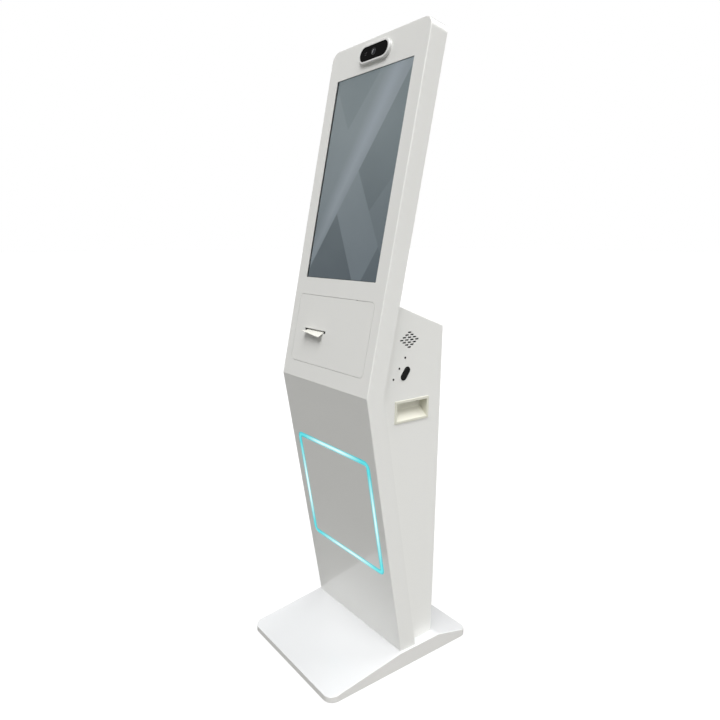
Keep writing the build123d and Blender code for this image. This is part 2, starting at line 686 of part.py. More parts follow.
def cabinet_shell():
    shell = prism(cabinet_profile(0, 0), CABINET_HALF)
    back_edges = [e for e in shell.edges() if abs(e.center().Y - CABINET_BACK) < 0.1]
    edges = [e for e in back_edges if e.center().Z > BASE_TOP + 1]
    tops = [e for e in shell.edges() if e.center().Z > 960 and abs(e.center().X) > 160 and e.center().Y < 120]
    shell = fillet(edges + tops, 2.4)
    shell -= prism(cabinet_profile(SHEET, 6), CABINET_HALF - SHEET)
    door = REAR_DOOR_HALF + REAR_DOOR_GAP
    shell -= block(-door, door, 100, 140, REAR_DOOR_BOTTOM - REAR_DOOR_GAP, REAR_DOOR_TOP + REAR_DOOR_GAP)
    handle_hole = plate(RIGHT_SIDE, Rectangle(HANDLE_W - 6, HANDLE_H - 6), HANDLE_Y, HANDLE_Z, -3, 5)
    for cut in both_sides(handle_hole):
        shell -= cut
    for slot in speaker_slots():
        for cut in both_sides(plate(RIGHT_SIDE, slot, 0, 0, -3, 5)):
            shell -= cut
    for y, z in nut_places():
        shell -= plate(RIGHT_SIDE, Circle(NUT_SHANK_R), y, z, -3, 5)
    shell -= plate(RIGHT_SIDE, port_outline(3), PORT_Y, PORT_Z, -3, 5)
    shell -= plate(BACK_FACE, Rectangle(INLET_W, INLET_H), INLET_X, INLET_Z, -3, 5)
    shell -= plate(BACK_FACE, Rectangle(SWITCH_W, SWITCH_H), SWITCH_X, INLET_Z, -3, 5)
    return shell + lock_keeper()


def accessory_nuts():
    """Clinch nuts: a shank pressed flush into the sheet and a hexagon behind it."""
    nuts = []
    for y, z in nut_places():
        nut = plate(RIGHT_SIDE, RegularPolygon(5, 6) - Circle(NUT_HOLE_R), y, z, SHEET, SHEET + 6)
        shank = plate(RIGHT_SIDE, Circle(NUT_SHANK_R) - Circle(NUT_HOLE_R), y, z, 0, SHEET)
        nuts.append(nut + shank)
    return nuts


def port_plug():
    """Rubber plug in the oval cable port: a domed cap and a hollow lip."""
    cap = plate(RIGHT_SIDE, port_outline(0), PORT_Y, PORT_Z, -2, 0)
    cap = fillet(cap.faces().sort_by(Axis.X)[-1].edges(), 1.2)
    return cap + plate(RIGHT_SIDE, port_outline(3.4) - port_outline(8), PORT_Y, PORT_Z, 0, 6)


def handle_cup():
    """Flush lifting handle: a framed cup whose floor ramps up to the back of the finger recess."""
    inner = HANDLE_DEPTH - 2.5
    mouth_w = HANDLE_W - 13
    mouth_h = HANDLE_H - 13
    cup = plate(RIGHT_SIDE, RectangleRounded(HANDLE_W, HANDLE_H, 2), HANDLE_Y, HANDLE_Z, -2.2, 0)
    cup = fillet(cup.faces().sort_by(Axis.X)[-1].edges(), 0.8)
    cup += plate(RIGHT_SIDE, Rectangle(HANDLE_W - 7, HANDLE_H - 7), HANDLE_Y, HANDLE_Z, 0, HANDLE_DEPTH)
    cup -= plate(RIGHT_SIDE, Rectangle(mouth_w, mouth_h), HANDLE_Y, HANDLE_Z, -4, inner)
    face = CABINET_HALF
    low = HANDLE_Z - mouth_h / 2
    outline = [(face, low), (face - inner, low), (face - inner, low + mouth_h / 2)]
    ramp = extrude(make_face(Plane.XZ * Polyline(*outline, close=True)), mouth_w / 2, both=True)
    return cup + Pos(0, HANDLE_Y, 0) * ramp


def speaker():
    """Basket with its magnet, behind the slots."""
    flange = RectangleRounded(72, 52, 4) - Circle(21)
    basket = plate(RIGHT_SIDE, flange, SPEAKER_Y, SPEAKER_Z, SHEET, SHEET + 3)
    basket += plate(RIGHT_SIDE, Circle(24) - Circle(21), SPEAKER_Y, SPEAKER_Z, SHEET + 3, SHEET + 16)
    basket += plate(RIGHT_SIDE, Circle(24), SPEAKER_Y, SPEAKER_Z, SHEET + 16, SHEET + 18)
    return basket + plate(RIGHT_SIDE, Circle(16), SPEAKER_Y, SPEAKER_Z, SHEET + 18, SHEET + 28)


def speaker_cone():
    place = RIGHT_SIDE.location * Pos(SPEAKER_Y, SPEAKER_Z, -SHEET - 9)
    return place * Cone(9, 20.6, 12) - place * Pos(0, 0, 1.5) * Cone(8, 19.6, 12)


# ---------------------------------------------------------------- rear door, lock and fan
def rear_door():
    mid_z = (REAR_DOOR_TOP + REAR_DOOR_BOTTOM) / 2
    height = REAR_DOOR_TOP - REAR_DOOR_BOTTOM
    door = plate(BACK_FACE, RectangleRounded(2 * REAR_DOOR_HALF, height, 2), 0, mid_z, 0, SHEET)
    inside = Rectangle(2 * (REAR_DOOR_HALF - SHEET), height - 2 * SHEET)
    rim = RectangleRounded(2 * REAR_DOOR_HALF, height, 2) - inside
    door += plate(BACK_FACE, rim, 0, mid_z, SHEET, REAR_DOOR_FLANGE)
    for row in range(9):
        for column in range(-1, 2):
            door -= plate(BACK_FACE, SlotOverall(22, 4), column * 26, FAN_Z + (row - 4) * 8, -2, 3)
            door -= plate(BACK_FACE, SlotOverall(22, 4), column * 26, 200 + row * 8, -2, 3)
    door -= plate(BACK_FACE, Circle(9.1), -LOCK_X, LOCK_Z, -2, 3)
    return door - Pos(REAR_PIVOT_X, REAR_PIVOT_Y, mid_z) * Cylinder(2.55, height + 20)


def rear_door_pivots():
    """Fixed ears with pins, above and below the door."""
    pivots = []
    inner = CABINET_BACK - SHEET
    for edge, out in ((REAR_DOOR_TOP, 1), (REAR_DOOR_BOTTOM, -1)):
        z_ear = sorted((edge + 3 * out, edge + 5 * out))
        z_foot = sorted((edge + 3 * out, edge + 20 * out))
        z_pin = sorted((edge - 7 * out, edge + 4 * out))
        pivot = block(REAR_PIVOT_X - 10, REAR_PIVOT_X + 10, inner - 12, inner, *z_ear)
        pivot += block(REAR_PIVOT_X - 10, REAR_PIVOT_X + 10, inner - 2, inner, *z_foot)
        pin = Pos(REAR_PIVOT_X, REAR_PIVOT_Y, sum(z_pin) / 2) * Cylinder(2.5, z_pin[1] - z_pin[0])
        pivots.append(pivot + pin)
    return pivots


def lock_body():
    """Cam-lock housing nutted through the door."""
    body = plate(BACK_FACE, Circle(11) - Circle(6.1), -LOCK_X, LOCK_Z, -2, 0)
    body += plate(BACK_FACE, Circle(9) - Circle(6.1), -LOCK_X, LOCK_Z, 0, 14)
    return body + plate(BACK_FACE, RegularPolygon(12.5, 6) - Circle(8.9), -LOCK_X, LOCK_Z, SHEET, SHEET + 4)


def lock_cam():
    """Key plug with its cam; the cam hangs down when the lock is open."""
    plug = plate(BACK_FACE, Circle(6.05), -LOCK_X, LOCK_Z, -1.6, 14.2)
    plug -= plate(BACK_FACE, Rectangle(1.6, 7), -LOCK_X, LOCK_Z, -2, 3)
    arm = Pos(0, -12) * RectangleRounded(12, 40, 5)
    return plug + plate(BACK_FACE, arm, -LOCK_X, LOCK_Z, 14.2, 16.6)


def lock_keeper():
    """Tab welded inside the cabinet's rear frame that the cam turns behind."""
    inner = CABINET_BACK - SHEET
    ear = block(148, 150, inner - 11.8, inner, LOCK_Z - 12, LOCK_Z + 12)
    return ear + block(148, 162, inner - 2, inner, LOCK_Z - 12, LOCK_Z + 12)


def fan_frame():
    back = SHEET + FAN_DEPTH
    ring = RectangleRounded(FAN_SIZE, FAN_SIZE, 4) - Circle(38)
    frame = plate(BACK_FACE, ring, 0, FAN_Z, SHEET, back)
    frame += plate(BACK_FACE, Circle(18), 0, FAN_Z, back - 2.5, back)
    for turn in (45, 135):
        spoke = Rot(0, 0, turn) * Rectangle(77, 4)
        frame += plate(BACK_FACE, spoke, 0, FAN_Z, back - 2.5, back)
    frame += plate(BACK_FACE, Circle(2.4), 0, FAN_Z, back - 18, back)
    for x in (-35.7, 35.7):
        for z in (-35.7, 35.7):
            frame -= plate(BACK_FACE, Circle(2.1), x, FAN_Z + z, 0, back + 2)
    return frame


def fan_rotor():
    front = SHEET + 3
    back = SHEET + FAN_DEPTH - 4
    hub = plate(BACK_FACE, Circle(16), 0, FAN_Z, front, back)
    for i in range(FAN_BLADES):
        blade = plate(BACK_FACE, Rectangle(22, 1.6), 0, 0, -8, 8)
        turn = Rot(0, i * 360 / FAN_BLADES, 0) * Pos(-25.5, 0, 0) * Rot(38, 0, 0)
        blade = turn * Pos(0, -CABINET_BACK, 0) * blade
        hub += Pos(0, CABINET_BACK - (front + back) / 2, FAN_Z) * blade
    return hub - plate(BACK_FACE, Circle(2.45), 0, FAN_Z, back - 15, back + 1)


# ---------------------------------------------------------------- equipment in the cabinet
def equipment_plate():
    tray = block(-150, 150, TRAY_Y, TRAY_Y + 2, 180, 690)
    for sign in (-1, 1):
        x0, x1 = sorted((sign * 148, sign * 150))
        tray += block(x0, x1, TRAY_Y, TRAY_Y + 16, 180, 690)
        foot = sorted((sign * 148, sign * 165.5))
        tray += block(*foot, TRAY_Y + 14, TRAY_Y + 16, 560, 690)
        tray += block(*foot, TRAY_Y + 14, TRAY_Y + 16, 180, 300)
    return tray


def equipment_box(x0, x1, z0, z1, depth, radius):
    """Electronics enclosure standing on the equipment plate, with cooling slots."""
    box = block(x0, x1, TRAY_Y + 2, TRAY_Y + 2 + depth, z0, z1)
    box = fillet(box.edges().filter_by(Axis.Y), radius)
    face = TRAY_Y + 2 + depth
    for i in range(6):
        x = (x0 + x1) / 2 + (i - 2.5) * 9
        box -= block(x - 1.5, x + 1.5, face - 1.5, face + 1, z0 + 14, z1 - 14)
    return box


def mains_inlet():
    """Three-pin appliance inlet, opening to the rear."""
    body = plate(BACK_FACE, RectangleRounded(50, 25, 3), INLET_X, INLET_Z, -2.5, 0)
    body += plate(BACK_FACE, Rectangle(INLET_W - 0.4, INLET_H - 0.4), INLET_X, INLET_Z, 0, 22)
    body -= plate(BACK_FACE, RectangleRounded(24.4, 16.8, 3), INLET_X, INLET_Z, -3, 16)
    for x, z in ((-7, -1.5), (7, -1.5), (0, 2)):
        body += plate(BACK_FACE, Rectangle(2, 4), INLET_X + x, INLET_Z + z, 4, 16)
    return body


def switch_body():
    body = plate(BACK_FACE, RectangleRounded(21.5, 15.5, 1), SWITCH_X, INLET_Z, -1.5, 0)
    body += plate(BACK_FACE, Rectangle(SWITCH_W - 0.4, SWITCH_H - 0.4), SWITCH_X, INLET_Z, 0, 16)
    return body - plate(BACK_FACE, Rectangle(16, 10), SWITCH_X, INLET_Z, -2, 7)


def switch_rocker():
    """Rocker lying on its off side; it turns about a vertical pin."""
    outline = [(-7.4, 0), (-7.4, 3.2), (0, 1.9), (7.4, 3.2), (7.4, 0), (0, -2.4)]
    body = extrude(make_face(Polyline(*outline, close=True)), 4.6, both=True)
    place = Pos(-SWITCH_X, CABINET_BACK - 0.8, INLET_Z) * Rot(0, 0, ROCKER_TILT)
    return place * body


def cable(points, radius, section_r):
    """Round cable along straight runs joined by arcs."""
    path = FilletPolyline(*[Vector(*p) for p in points], radius=radius)
    start = path @ 0
    section = Plane(origin=start, z_dir=path % 0) * Circle(section_r)
    return sweep(section, path=path)


def mains_cable():
    x = -INLET_X
    inner = CABINET_BACK - 22
    return cable([(x, inner, INLET_Z), (x, inner - 22, INLET_Z), (x, inner - 22, 222)], 12, 3.5)


def light_cable():
    """From the driver through the equipment plate's lower gap to the light tray."""
    end_y, end_z = leg_point(RING_V - 60, 22.5)
    start_z = 300
    low_z = 160
    return cable([(70, TRAY_Y + 14, start_z), (70, TRAY_Y + 14, low_z), (70, end_y + 30, low_z + 10),
                  (70, end_y + 24, end_z), (70, end_y, end_z)], 10, 2)


def video_cable():
    """From the computer up the cabinet, then up the head to the display board."""
    run_y = TRAY_Y + 24
    low = head_point(150, VIDEO_DEPTH)
    high = head_point(SCREEN_V - 200, VIDEO_DEPTH)
    near = head_point(SCREEN_V - 145, VIDEO_DEPTH - 10)
    end = head_point(SCREEN_V - 116.3, VIDEO_DEPTH - 10)
    return cable([(VIDEO_X, run_y, 640), (VIDEO_X, run_y, 780), (VIDEO_X, *low), (VIDEO_X, *high),
                  (VIDEO_X, *near), (VIDEO_X, *end)], 25, 2.6)


# ---------------------------------------------------------------- write every node
def main():
    save("base_cover", base_cover())
    save("base_plate", base_plate())
    save("base_feet", *base_feet())
    save("base_spacers", *base_spacers())
    save("base_bolts", *base_bolts())
    save("cabinet_floor", cabinet_floor())
    save("front_shell", front_shell())
    save("head_back_cover", head_back_cover())
    save("cover_rails", *cover_rails())
    save("cover_screws", *cover_screws())
    save("screen_gasket", screen_gasket())
    save("touch_glass", touch_glass())
    save("lcd_panel", lcd_panel())
    save("screen_rails", *screen_rails())
    save("display_board", display_board())
    save("camera_housing", camera_housing())
    save("camera_window", camera_window())
    save("camera_module", camera_module())
    save("printer_door", printer_door())
    save("door_pivots", *door_pivots())
    save("door_magnets", *door_magnets())
    save("printer_frame", printer_frame())
    save("platen_roller", platen_roller())
    save("print_head", print_head())
    save("fixed_blade", fixed_blade())
    save("cutter_blade", cutter_blade())
    save("feed_motor", feed_motor())
    save("printer_board", printer_board())
    save("feed_button", feed_button())
    save("roll_holder", roll_holder())
    save("paper_roll", paper_roll())
    save("paper_web", paper_web())
    save("ticket", ticket())
    save("light_panel", light_panel())
    save("light_diffuser", light_diffuser())
    save("light_tray", light_tray())
    save("led_strip", led_strip())
    save("cabinet_shell", cabinet_shell())
    save("accessory_nuts", *accessory_nuts())
    save("port_plug", port_plug())
    for side, handle in zip(("right", "left"), both_sides(handle_cup())):
        save("handle_" + side, handle)
    save("speakers", *both_sides(speaker()))
    save("speaker_cones", *both_sides(speaker_cone()))
    save("rear_door", rear_door())
    save("rear_door_pivots", *rear_door_pivots())
    save("lock_body", lock_body())
    save("lock_cam", lock_cam())
    save("fan_frame", fan_frame())
    save("fan_rotor", fan_rotor())
    save("equipment_plate", equipment_plate())
    save("computer", equipment_box(-110, 90, 440, 640, 44, 6))
    save("power_supply", equipment_box(-110, 0, 222, 400, 40, 2))
    save("light_driver", equipment_box(30, 110, 300, 400, 24, 2))
    save("mains_inlet", mains_inlet())
    save("switch_body", switch_body())
    save("switch_rocker", switch_rocker())
    save("mains_cable", mains_cable())
    save("light_cable", light_cable())
    save("video_cable", video_cable())


main()
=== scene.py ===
import math

import bmesh
import bpy
from mathutils import Matrix, Vector


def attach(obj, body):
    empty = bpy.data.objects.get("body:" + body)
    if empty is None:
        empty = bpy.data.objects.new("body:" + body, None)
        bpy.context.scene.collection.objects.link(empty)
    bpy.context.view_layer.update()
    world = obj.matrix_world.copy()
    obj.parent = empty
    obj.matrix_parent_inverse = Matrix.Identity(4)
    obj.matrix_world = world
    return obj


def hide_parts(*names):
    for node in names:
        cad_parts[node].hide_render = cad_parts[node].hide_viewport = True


# Touchscreen kiosk: materials, screen picture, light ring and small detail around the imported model.
# Lengths are in millimetres and angles in degrees, unless a comment says otherwise.
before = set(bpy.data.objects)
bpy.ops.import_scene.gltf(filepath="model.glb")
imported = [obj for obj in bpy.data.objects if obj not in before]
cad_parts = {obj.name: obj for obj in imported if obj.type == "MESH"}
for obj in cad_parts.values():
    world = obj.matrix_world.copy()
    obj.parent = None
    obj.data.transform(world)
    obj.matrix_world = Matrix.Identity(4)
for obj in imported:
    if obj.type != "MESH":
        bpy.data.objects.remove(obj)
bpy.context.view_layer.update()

MM = 0.001

# The view: its place in metres, and azimuth from the front towards the right side.
VIEW_PLACE = (1.2698, -1.0366, 1.1560)
VIEW_AZIMUTH = 54.99
VIEW_ELEVATION = 11.55
VIEW_LENS = 30.30
VIEW_SENSOR = 36
VIEW_SHIFT = (0.0556, 0.0056)
VIEW_REACH = 100  # metres

# The two front panels, as in the CAD model: origin on the kink line, then tilt from upright.
KINK = Vector((0, -144, 784)) * MM
HEAD_TILT = 11.4
LEG_TILT = 10.4

# The screen's opening and middle, the lit picture behind the glass, and the black print on it.
SCREEN_W = 298.7
SCREEN_H = 531
SCREEN_V = 277.7 + SCREEN_H / 2
PICTURE_W = 301
PICTURE_H = 534
PICTURE_DEPTH = 6.85
PRINT_DEPTH = 6.4
PRINT_MARGIN = 7

# The light ring: its centre line's width, height and corner, its band and its middle on the leg.
RING_W = 311.6
RING_H = 326
RING_R = 13
RING_BAND = 15.5
RING_V = -347.8
RING_GAP = 0.15
RING_DEPTH = 8.0

# The ticket slot in the printer door, and the paper's path through it.
SLOT_X = -67
SLOT_V = 135.3
SLOT_DEPTH = 1
PAPER_W = 80
PAPER_PATH_ANGLE = 38
TICKET_INSIDE = 20.7
TICKET_OUTSIDE = 22.0
TICKET_THICKNESS = 0.14
TICKET_SAG = 1.3
TICKET_CURL = 11.5
THROAT_W = 97.6
THROAT_H = 7.6
THROAT_R = 1.0
ROLL_V = 88
ROLL_DEPTH = 92

# The kiosk's own camera, over the screen: its height on the panel and its window's face.
LENS_V = 851
LENS_FACE = 7.5

# Back faces of the circuit boards, in the head's frame, and what stands on them.
DISPLAY_BOARD_FACE = -29.6
PRINTER_BOARD_FACE = -7.6
CAMERA_BOARD_FACE = -9.6
LEG_PITCH = 1.6
PIN_PITCH = 2.5

# Boxes in the cabinet: left, right, bottom, top and the face towards the rear door.
COMPUTER_BOX = (-110, 90, 440, 640, 104)
SUPPLY_BOX = (-110, 0, 222, 400, 100)
DRIVER_BOX = (30, 110, 300, 400, 84)

# Ties on the upright cables: x, y, the cable's radius, and the ties' heights.
CABLE_TIES = ((36, 82, 2.6, (670, 720)), (70, 72, 2.0, (200, 250)), (-60, 84.4, 3.5, (140, 180)))

# The rear door's seal: height of its middle, its outlines as width, height and corner radius,
# and where it lies in depth.
SEAL_MIDDLE = 527.5
SEAL_OUTER = (282, 747, 6)
SEAL_INNER = (268, 733, 3)
SEAL_BACK = 126.2
SEAL_FRONT = 121.0


# ---------------------------------------------------------------- places on the object
def panel_frame(tilt):
    """Matrix of a front panel: x across, y up the panel, z out of its face."""
    lean = math.radians(tilt)
    across = Vector((1, 0, 0))
    out = Vector((0, -math.cos(lean), math.sin(lean)))
    up = out.cross(across)
    rotation = Matrix((across, up, out)).transposed().to_4x4()
    return Matrix.Translation(KINK) @ rotation


HEAD = panel_frame(HEAD_TILT)
LEG = panel_frame(-LEG_TILT)
SLOT_MIDDLE = HEAD @ Matrix.Translation(Vector((SLOT_X, SLOT_V, -SLOT_DEPTH)) * MM)
PAPER_PATH = SLOT_MIDDLE @ Matrix.Rotation(math.radians(PAPER_PATH_ANGLE), 4, "X")


def link(obj):
    """Put a new object in the scene and give it back."""
    bpy.context.scene.collection.objects.link(obj)
    return obj


def mesh_piece(name, verts, faces, material, body, place=None, uvs=None, smooth=True):
    """A named mesh from points in a panel's frame, place, or in the kiosk's own frame."""
    mesh = bpy.data.meshes.new(name)
    mesh.from_pydata([Vector(v) * MM for v in verts], [], faces)
    if place is not None:
        mesh.transform(place)
    if uvs is not None:
        layer = mesh.uv_layers.new(name="UVMap")
        for loop in mesh.loops:
            layer.data[loop.index].uv = uvs[loop.vertex_index]
    mesh.materials.append(material)
    for polygon in mesh.polygons:
        polygon.use_smooth = smooth
    mesh.update()
    piece = link(bpy.data.objects.new(name, mesh))
    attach(piece, body)
    return piece


# ---------------------------------------------------------------- material building
class Nodes:
    """A small helper around one node material."""

    def __init__(self, name):
        self.material = bpy.data.materials.new(name)
        self.material.use_nodes = True
        self.tree = self.material.node_tree
        self.shader = self.tree.nodes["Principled BSDF"]
        self.coords = self.add("ShaderNodeTexCoord").outputs["Object"]

    def add(self, kind, **settings):
        node = self.tree.nodes.new(kind)
        for key, value in settings.items():
            setattr(node, key, value)
        return node

    def join(self, source, target):
        self.tree.links.new(source, target)

    def feed(self, socket, value):
        """Link a socket's value, or set a plain one."""
        if isinstance(value, bpy.types.NodeSocket):
            self.join(value, socket)
        else:
            socket.default_value = value

    def math(self, operation, a, b=0.0, clamp=False):
        node = self.add("ShaderNodeMath", operation=operation, use_clamp=clamp)
        self.feed(node.inputs[0], a)
        self.feed(node.inputs[1], b)
        return node.outputs[0]

    def noise(self, scale, detail=3.0, roughness=0.5, stretch=None):
        vector = self.coords
        if stretch is not None:
            mapping = self.add("ShaderNodeMapping")
            mapping.inputs["Scale"].default_value = stretch
            self.join(vector, mapping.inputs["Vector"])
            vector = mapping.outputs["Vector"]
        node = self.add("ShaderNodeTexNoise")
        self.join(vector, node.inputs["Vector"])
        node.inputs["Scale"].default_value = scale
        node.inputs["Detail"].default_value = detail
        node.inputs["Roughness"].default_value = roughness
        return node.outputs["Fac"]

    def cells(self, scale):
        node = self.add("ShaderNodeTexVoronoi")
        self.join(self.coords, node.inputs["Vector"])
        node.inputs["Scale"].default_value = scale
        return node.outputs["Distance"]

    def spread(self, value, low, high, from_low=0.3, from_high=0.7):
        """Map from_low..from_high to low..high, and hold the ends."""
        node = self.add("ShaderNodeMapRange")
        self.join(value, node.inputs["Value"])
        node.inputs["From Min"].default_value = from_low
        node.inputs["From Max"].default_value = from_high
        node.inputs["To Min"].default_value = low
        node.inputs["To Max"].default_value = high
        return node.outputs["Result"]

    def blend(self, factor, first, second):
        """Mix of two colours; the mix node's colour sockets are inputs 6 and 7 and output 2."""
        node = self.add("ShaderNodeMix", data_type="RGBA")
        self.feed(node.inputs["Factor"], factor)
        for key, value in ((6, first), (7, second)):
            linked = isinstance(value, bpy.types.NodeSocket)
            self.feed(node.inputs[key], value if linked else (*value, 1))
        return node.outputs[2]

    def bump(self, height, distance):
        """Relief of the given height, with distance in metres."""
        node = self.add("ShaderNodeBump")
        self.join(height, node.inputs["Height"])
        node.inputs["Distance"].default_value = distance
        node.inputs["Strength"].default_value = 1.0
        self.join(node.outputs["Normal"], self.shader.inputs["Normal"])

    def split_uv(self):
        """The two UV coordinates, each as a socket."""
        source = self.add("ShaderNodeUVMap", uv_map="UVMap").outputs["UV"]
        split = self.add("ShaderNodeSeparateXYZ")
        self.join(source, split.inputs[0])
        return split.outputs[0], split.outputs[1]

    def set(self, **sockets):
        """Set or link the shader's own sockets, with _ for the spaces in their names."""
        for name, value in sockets.items():
            self.feed(self.shader.inputs[name.replace("_", " ")], value)


def tinted(colour, factor):
    """A lighter or darker colour."""
    return tuple(min(1.0, c * factor) for c in colour)


def surface(name, colour, rough, variation=0.03, patch=6.0, grain=900.0, depth=0.00002,
            metallic=0.0, coat=0.0, coat_rough=0.05, stretch=None, cells=False, specular=0.5):
    """A painted, moulded or metal surface: soft colour patches, uneven gloss and a fine relief.

    rough is the roughness's range, patch and grain are noise scales per metre, and depth is the
    relief in metres."""
    n = Nodes(name)
    patches = n.noise(patch, 4.0, 0.6)
    light, dark = tinted(colour, 1 + variation), tinted(colour, 1 - variation)
    n.set(Base_Color=n.blend(n.spread(patches, 0, 1), dark, light), Metallic=metallic)
    n.set(Coat_Weight=coat, Coat_Roughness=coat_rough, Specular_IOR_Level=specular)
    gloss = n.noise(patch * 9, 5.0, 0.65, stretch)
    n.set(Roughness=n.spread(gloss, rough[0], rough[1]))
    relief = n.cells(grain) if cells else n.noise(grain, 2.0, 0.5, stretch)
    n.bump(relief, depth)
    return n.material


def worn_paint_with_top_shade(name, colour, rough, coat, coat_rough, top_shade=None):
    """White powder coat: very faint broad shading, fine orange peel and an uneven gloss.

    The last argument is a painted shade: a dimmer, cooler colour that the surfaces facing up blend
    to, against the stronger light they get."""
    n = Nodes(name)
    patches = n.spread(n.noise(1.7, detail=1.0, roughness=0.4), 0, 1, from_low=0.0, from_high=1.0)
    base = n.blend(patches, tinted(colour, 0.985), tinted(colour, 1.012))
    speckle = n.spread(n.noise(260.0, detail=2.0, roughness=0.5), 0, 0.04)
    paint = n.blend(speckle, base, tinted(colour, 0.8))
    # Painted shade: faces turned up blend to a dimmer, cooler colour, as the lamps light them more.
    if top_shade:
        facing = n.add("ShaderNodeSeparateXYZ")
        n.join(n.add("ShaderNodeNewGeometry").outputs["Normal"], facing.inputs[0])
        level = n.spread(facing.outputs[2], 0, 1, from_low=0.2, from_high=0.9)
        paint = n.blend(level, paint, top_shade)
    n.set(Base_Color=paint)
    gloss = n.noise(4.0, detail=1.0, roughness=0.4)
    n.set(Roughness=n.spread(gloss, rough[0], rough[1], from_low=0.0, from_high=1.0))
    n.set(Coat_Weight=coat, Coat_Roughness=coat_rough, Specular_IOR_Level=0.5)
    n.bump(n.noise(330.0, detail=1.0, roughness=0.4), 0.0000012)
    return n.material


WHITE = (0.80, 0.80, 0.775)
paint_white = worn_paint_with_top_shade("white_powder_coat", WHITE, (0.3, 0.42), coat=0.2, coat_rough=0.12)
paint_front = worn_paint_with_top_shade("gloss_front_paint", WHITE, (0.29, 0.4), coat=0.8, coat_rough=0.03)
# The base's top takes a painted shade: a dimmer, cooler colour where it faces up.
paint_base = worn_paint_with_top_shade("base_powder_coat", (0.748, 0.740, 0.720), (0.29, 0.4), coat=0.6,
                        coat_rough=0.04, top_shade=(0.665, 0.672, 0.680))
steel_zinc = surface("zinc_plate", (0.62, 0.63, 0.64), (0.28, 0.45), variation=0.08, patch=30,
                     grain=700, depth=0.00001, metallic=1.0, cells=True)
steel_bolt = surface("bolt_steel", (0.5, 0.5, 0.51), (0.29, 0.42), variation=0.06, patch=60,
                     grain=1500, depth=0.00001, metallic=1.0)
steel_blade = surface("ground_steel", (0.72, 0.72, 0.73), (0.12, 0.22), variation=0.03, patch=60,
                      grain=600, depth=0.00001, metallic=1.0, stretch=(0.05, 1, 1))
chrome = surface("polished_chrome", (0.78, 0.78, 0.79), (0.06, 0.12), variation=0.02, patch=60,
                 grain=500, depth=0.000005, metallic=1.0)
rubber_black = surface("foot_rubber", (0.03, 0.03, 0.03), (0.6, 0.8), variation=0.15, patch=50,
                       grain=1200, depth=0.00004, cells=True)
foam_black = surface("gasket_foam", (0.02, 0.02, 0.022), (0.8, 0.95), variation=0.2, patch=90,
                     grain=2200, depth=0.00008, cells=True)
roller_rubber = surface("roller_rubber", (0.06, 0.06, 0.065), (0.5, 0.65), variation=0.1,
                        patch=90, grain=1600, depth=0.00002)
lcd_metal = surface("lcd_back_plate", (0.55, 0.56, 0.58), (0.3, 0.42), variation=0.03, patch=12,
                    grain=500, depth=0.00001, metallic=1.0, stretch=(1, 0.1, 0.1))
plastic_black = surface("moulded_black", (0.02, 0.02, 0.021), (0.38, 0.52), variation=0.12,
                        patch=60, grain=1400, depth=0.00003, cells=True)
plastic_cream = surface("moulded_cream", (0.70, 0.69, 0.60), (0.35, 0.5), variation=0.02,
                        patch=20, grain=1300, depth=0.00003, cells=True)
plastic_grey = surface("textured_grey_case", (0.07, 0.075, 0.08), (0.42, 0.6), variation=0.1,
                       patch=30, grain=1300, depth=0.00005, cells=True)
camera_white = surface("camera_gloss_white", (0.76, 0.76, 0.745), (0.12, 0.2), variation=0.01,
                       patch=40, grain=600, depth=0.000008, coat=0.5)
camera_black = surface("camera_black_gloss", (0.003, 0.003, 0.003), (0.05, 0.09), variation=0.1,
                       patch=40, grain=400, depth=0.000002, specular=0.15)
# Near-black painted shade: stands in for the shade inside the nut holes and the ticket slot.
hole_painted_shade = surface("bore_painted_shade", (0.004, 0.004, 0.004), (0.6, 0.8), variation=0.2, patch=60,
                     grain=900, depth=0.00002, specular=0.15)
rubber_plug = surface("plug_rubber", (0.006, 0.006, 0.006), (0.55, 0.75), variation=0.2, patch=60,
                      grain=1200, depth=0.00003, specular=0.2)
lens_glass = surface("lens_coated_glass", (0.012, 0.013, 0.022), (0.03, 0.06), variation=0.1,
                     patch=40, grain=400, depth=0.000002, coat=1.0)
lens_rim = surface("lens_rim_grey", (0.012, 0.012, 0.014), (0.29, 0.4), variation=0.08, patch=60,
                   grain=900, depth=0.00001, specular=0.3)
gloss_black = surface("switch_gloss_black", (0.012, 0.012, 0.012), (0.15, 0.25), variation=0.1,
                      patch=60, grain=900, depth=0.00001)
motor_black = surface("motor_satin_black", (0.03, 0.03, 0.033), (0.35, 0.5), variation=0.1,
                      patch=60, grain=1200, depth=0.00002)
cloth_black = surface("speaker_frame_black", (0.018, 0.018, 0.018), (0.6, 0.8), variation=0.2,
                      patch=80, grain=1800, depth=0.00006, cells=True)
cone_paper = surface("speaker_cone_paper", (0.035, 0.034, 0.033), (0.7, 0.85), variation=0.2,
                     patch=120, grain=1500, depth=0.0001)
magnet_grey = surface("ferrite_magnet", (0.09, 0.09, 0.095), (0.55, 0.75), variation=0.15,
                      patch=60, grain=1500, depth=0.00004)
cable_black = surface("cable_jacket", (0.02, 0.02, 0.021), (0.4, 0.5), variation=0.1, patch=60,
                      grain=1200, depth=0.00002)
chip_black = surface("chip_epoxy", (0.015, 0.015, 0.016), (0.45, 0.6), variation=0.15, patch=90,
                     grain=2500, depth=0.00002)
tin = surface("tinned_contacts", (0.74, 0.74, 0.73), (0.29, 0.42), variation=0.05, patch=120,
              grain=1500, depth=0.00001, metallic=1.0)
can_silver = surface("capacitor_can", (0.66, 0.67, 0.69), (0.18, 0.26), variation=0.04, patch=60,
                     grain=900, depth=0.00001, metallic=1.0)
nylon_white = surface("connector_nylon", (0.72, 0.71, 0.66), (0.4, 0.55), variation=0.04,
                      patch=60, grain=1200, depth=0.00002)
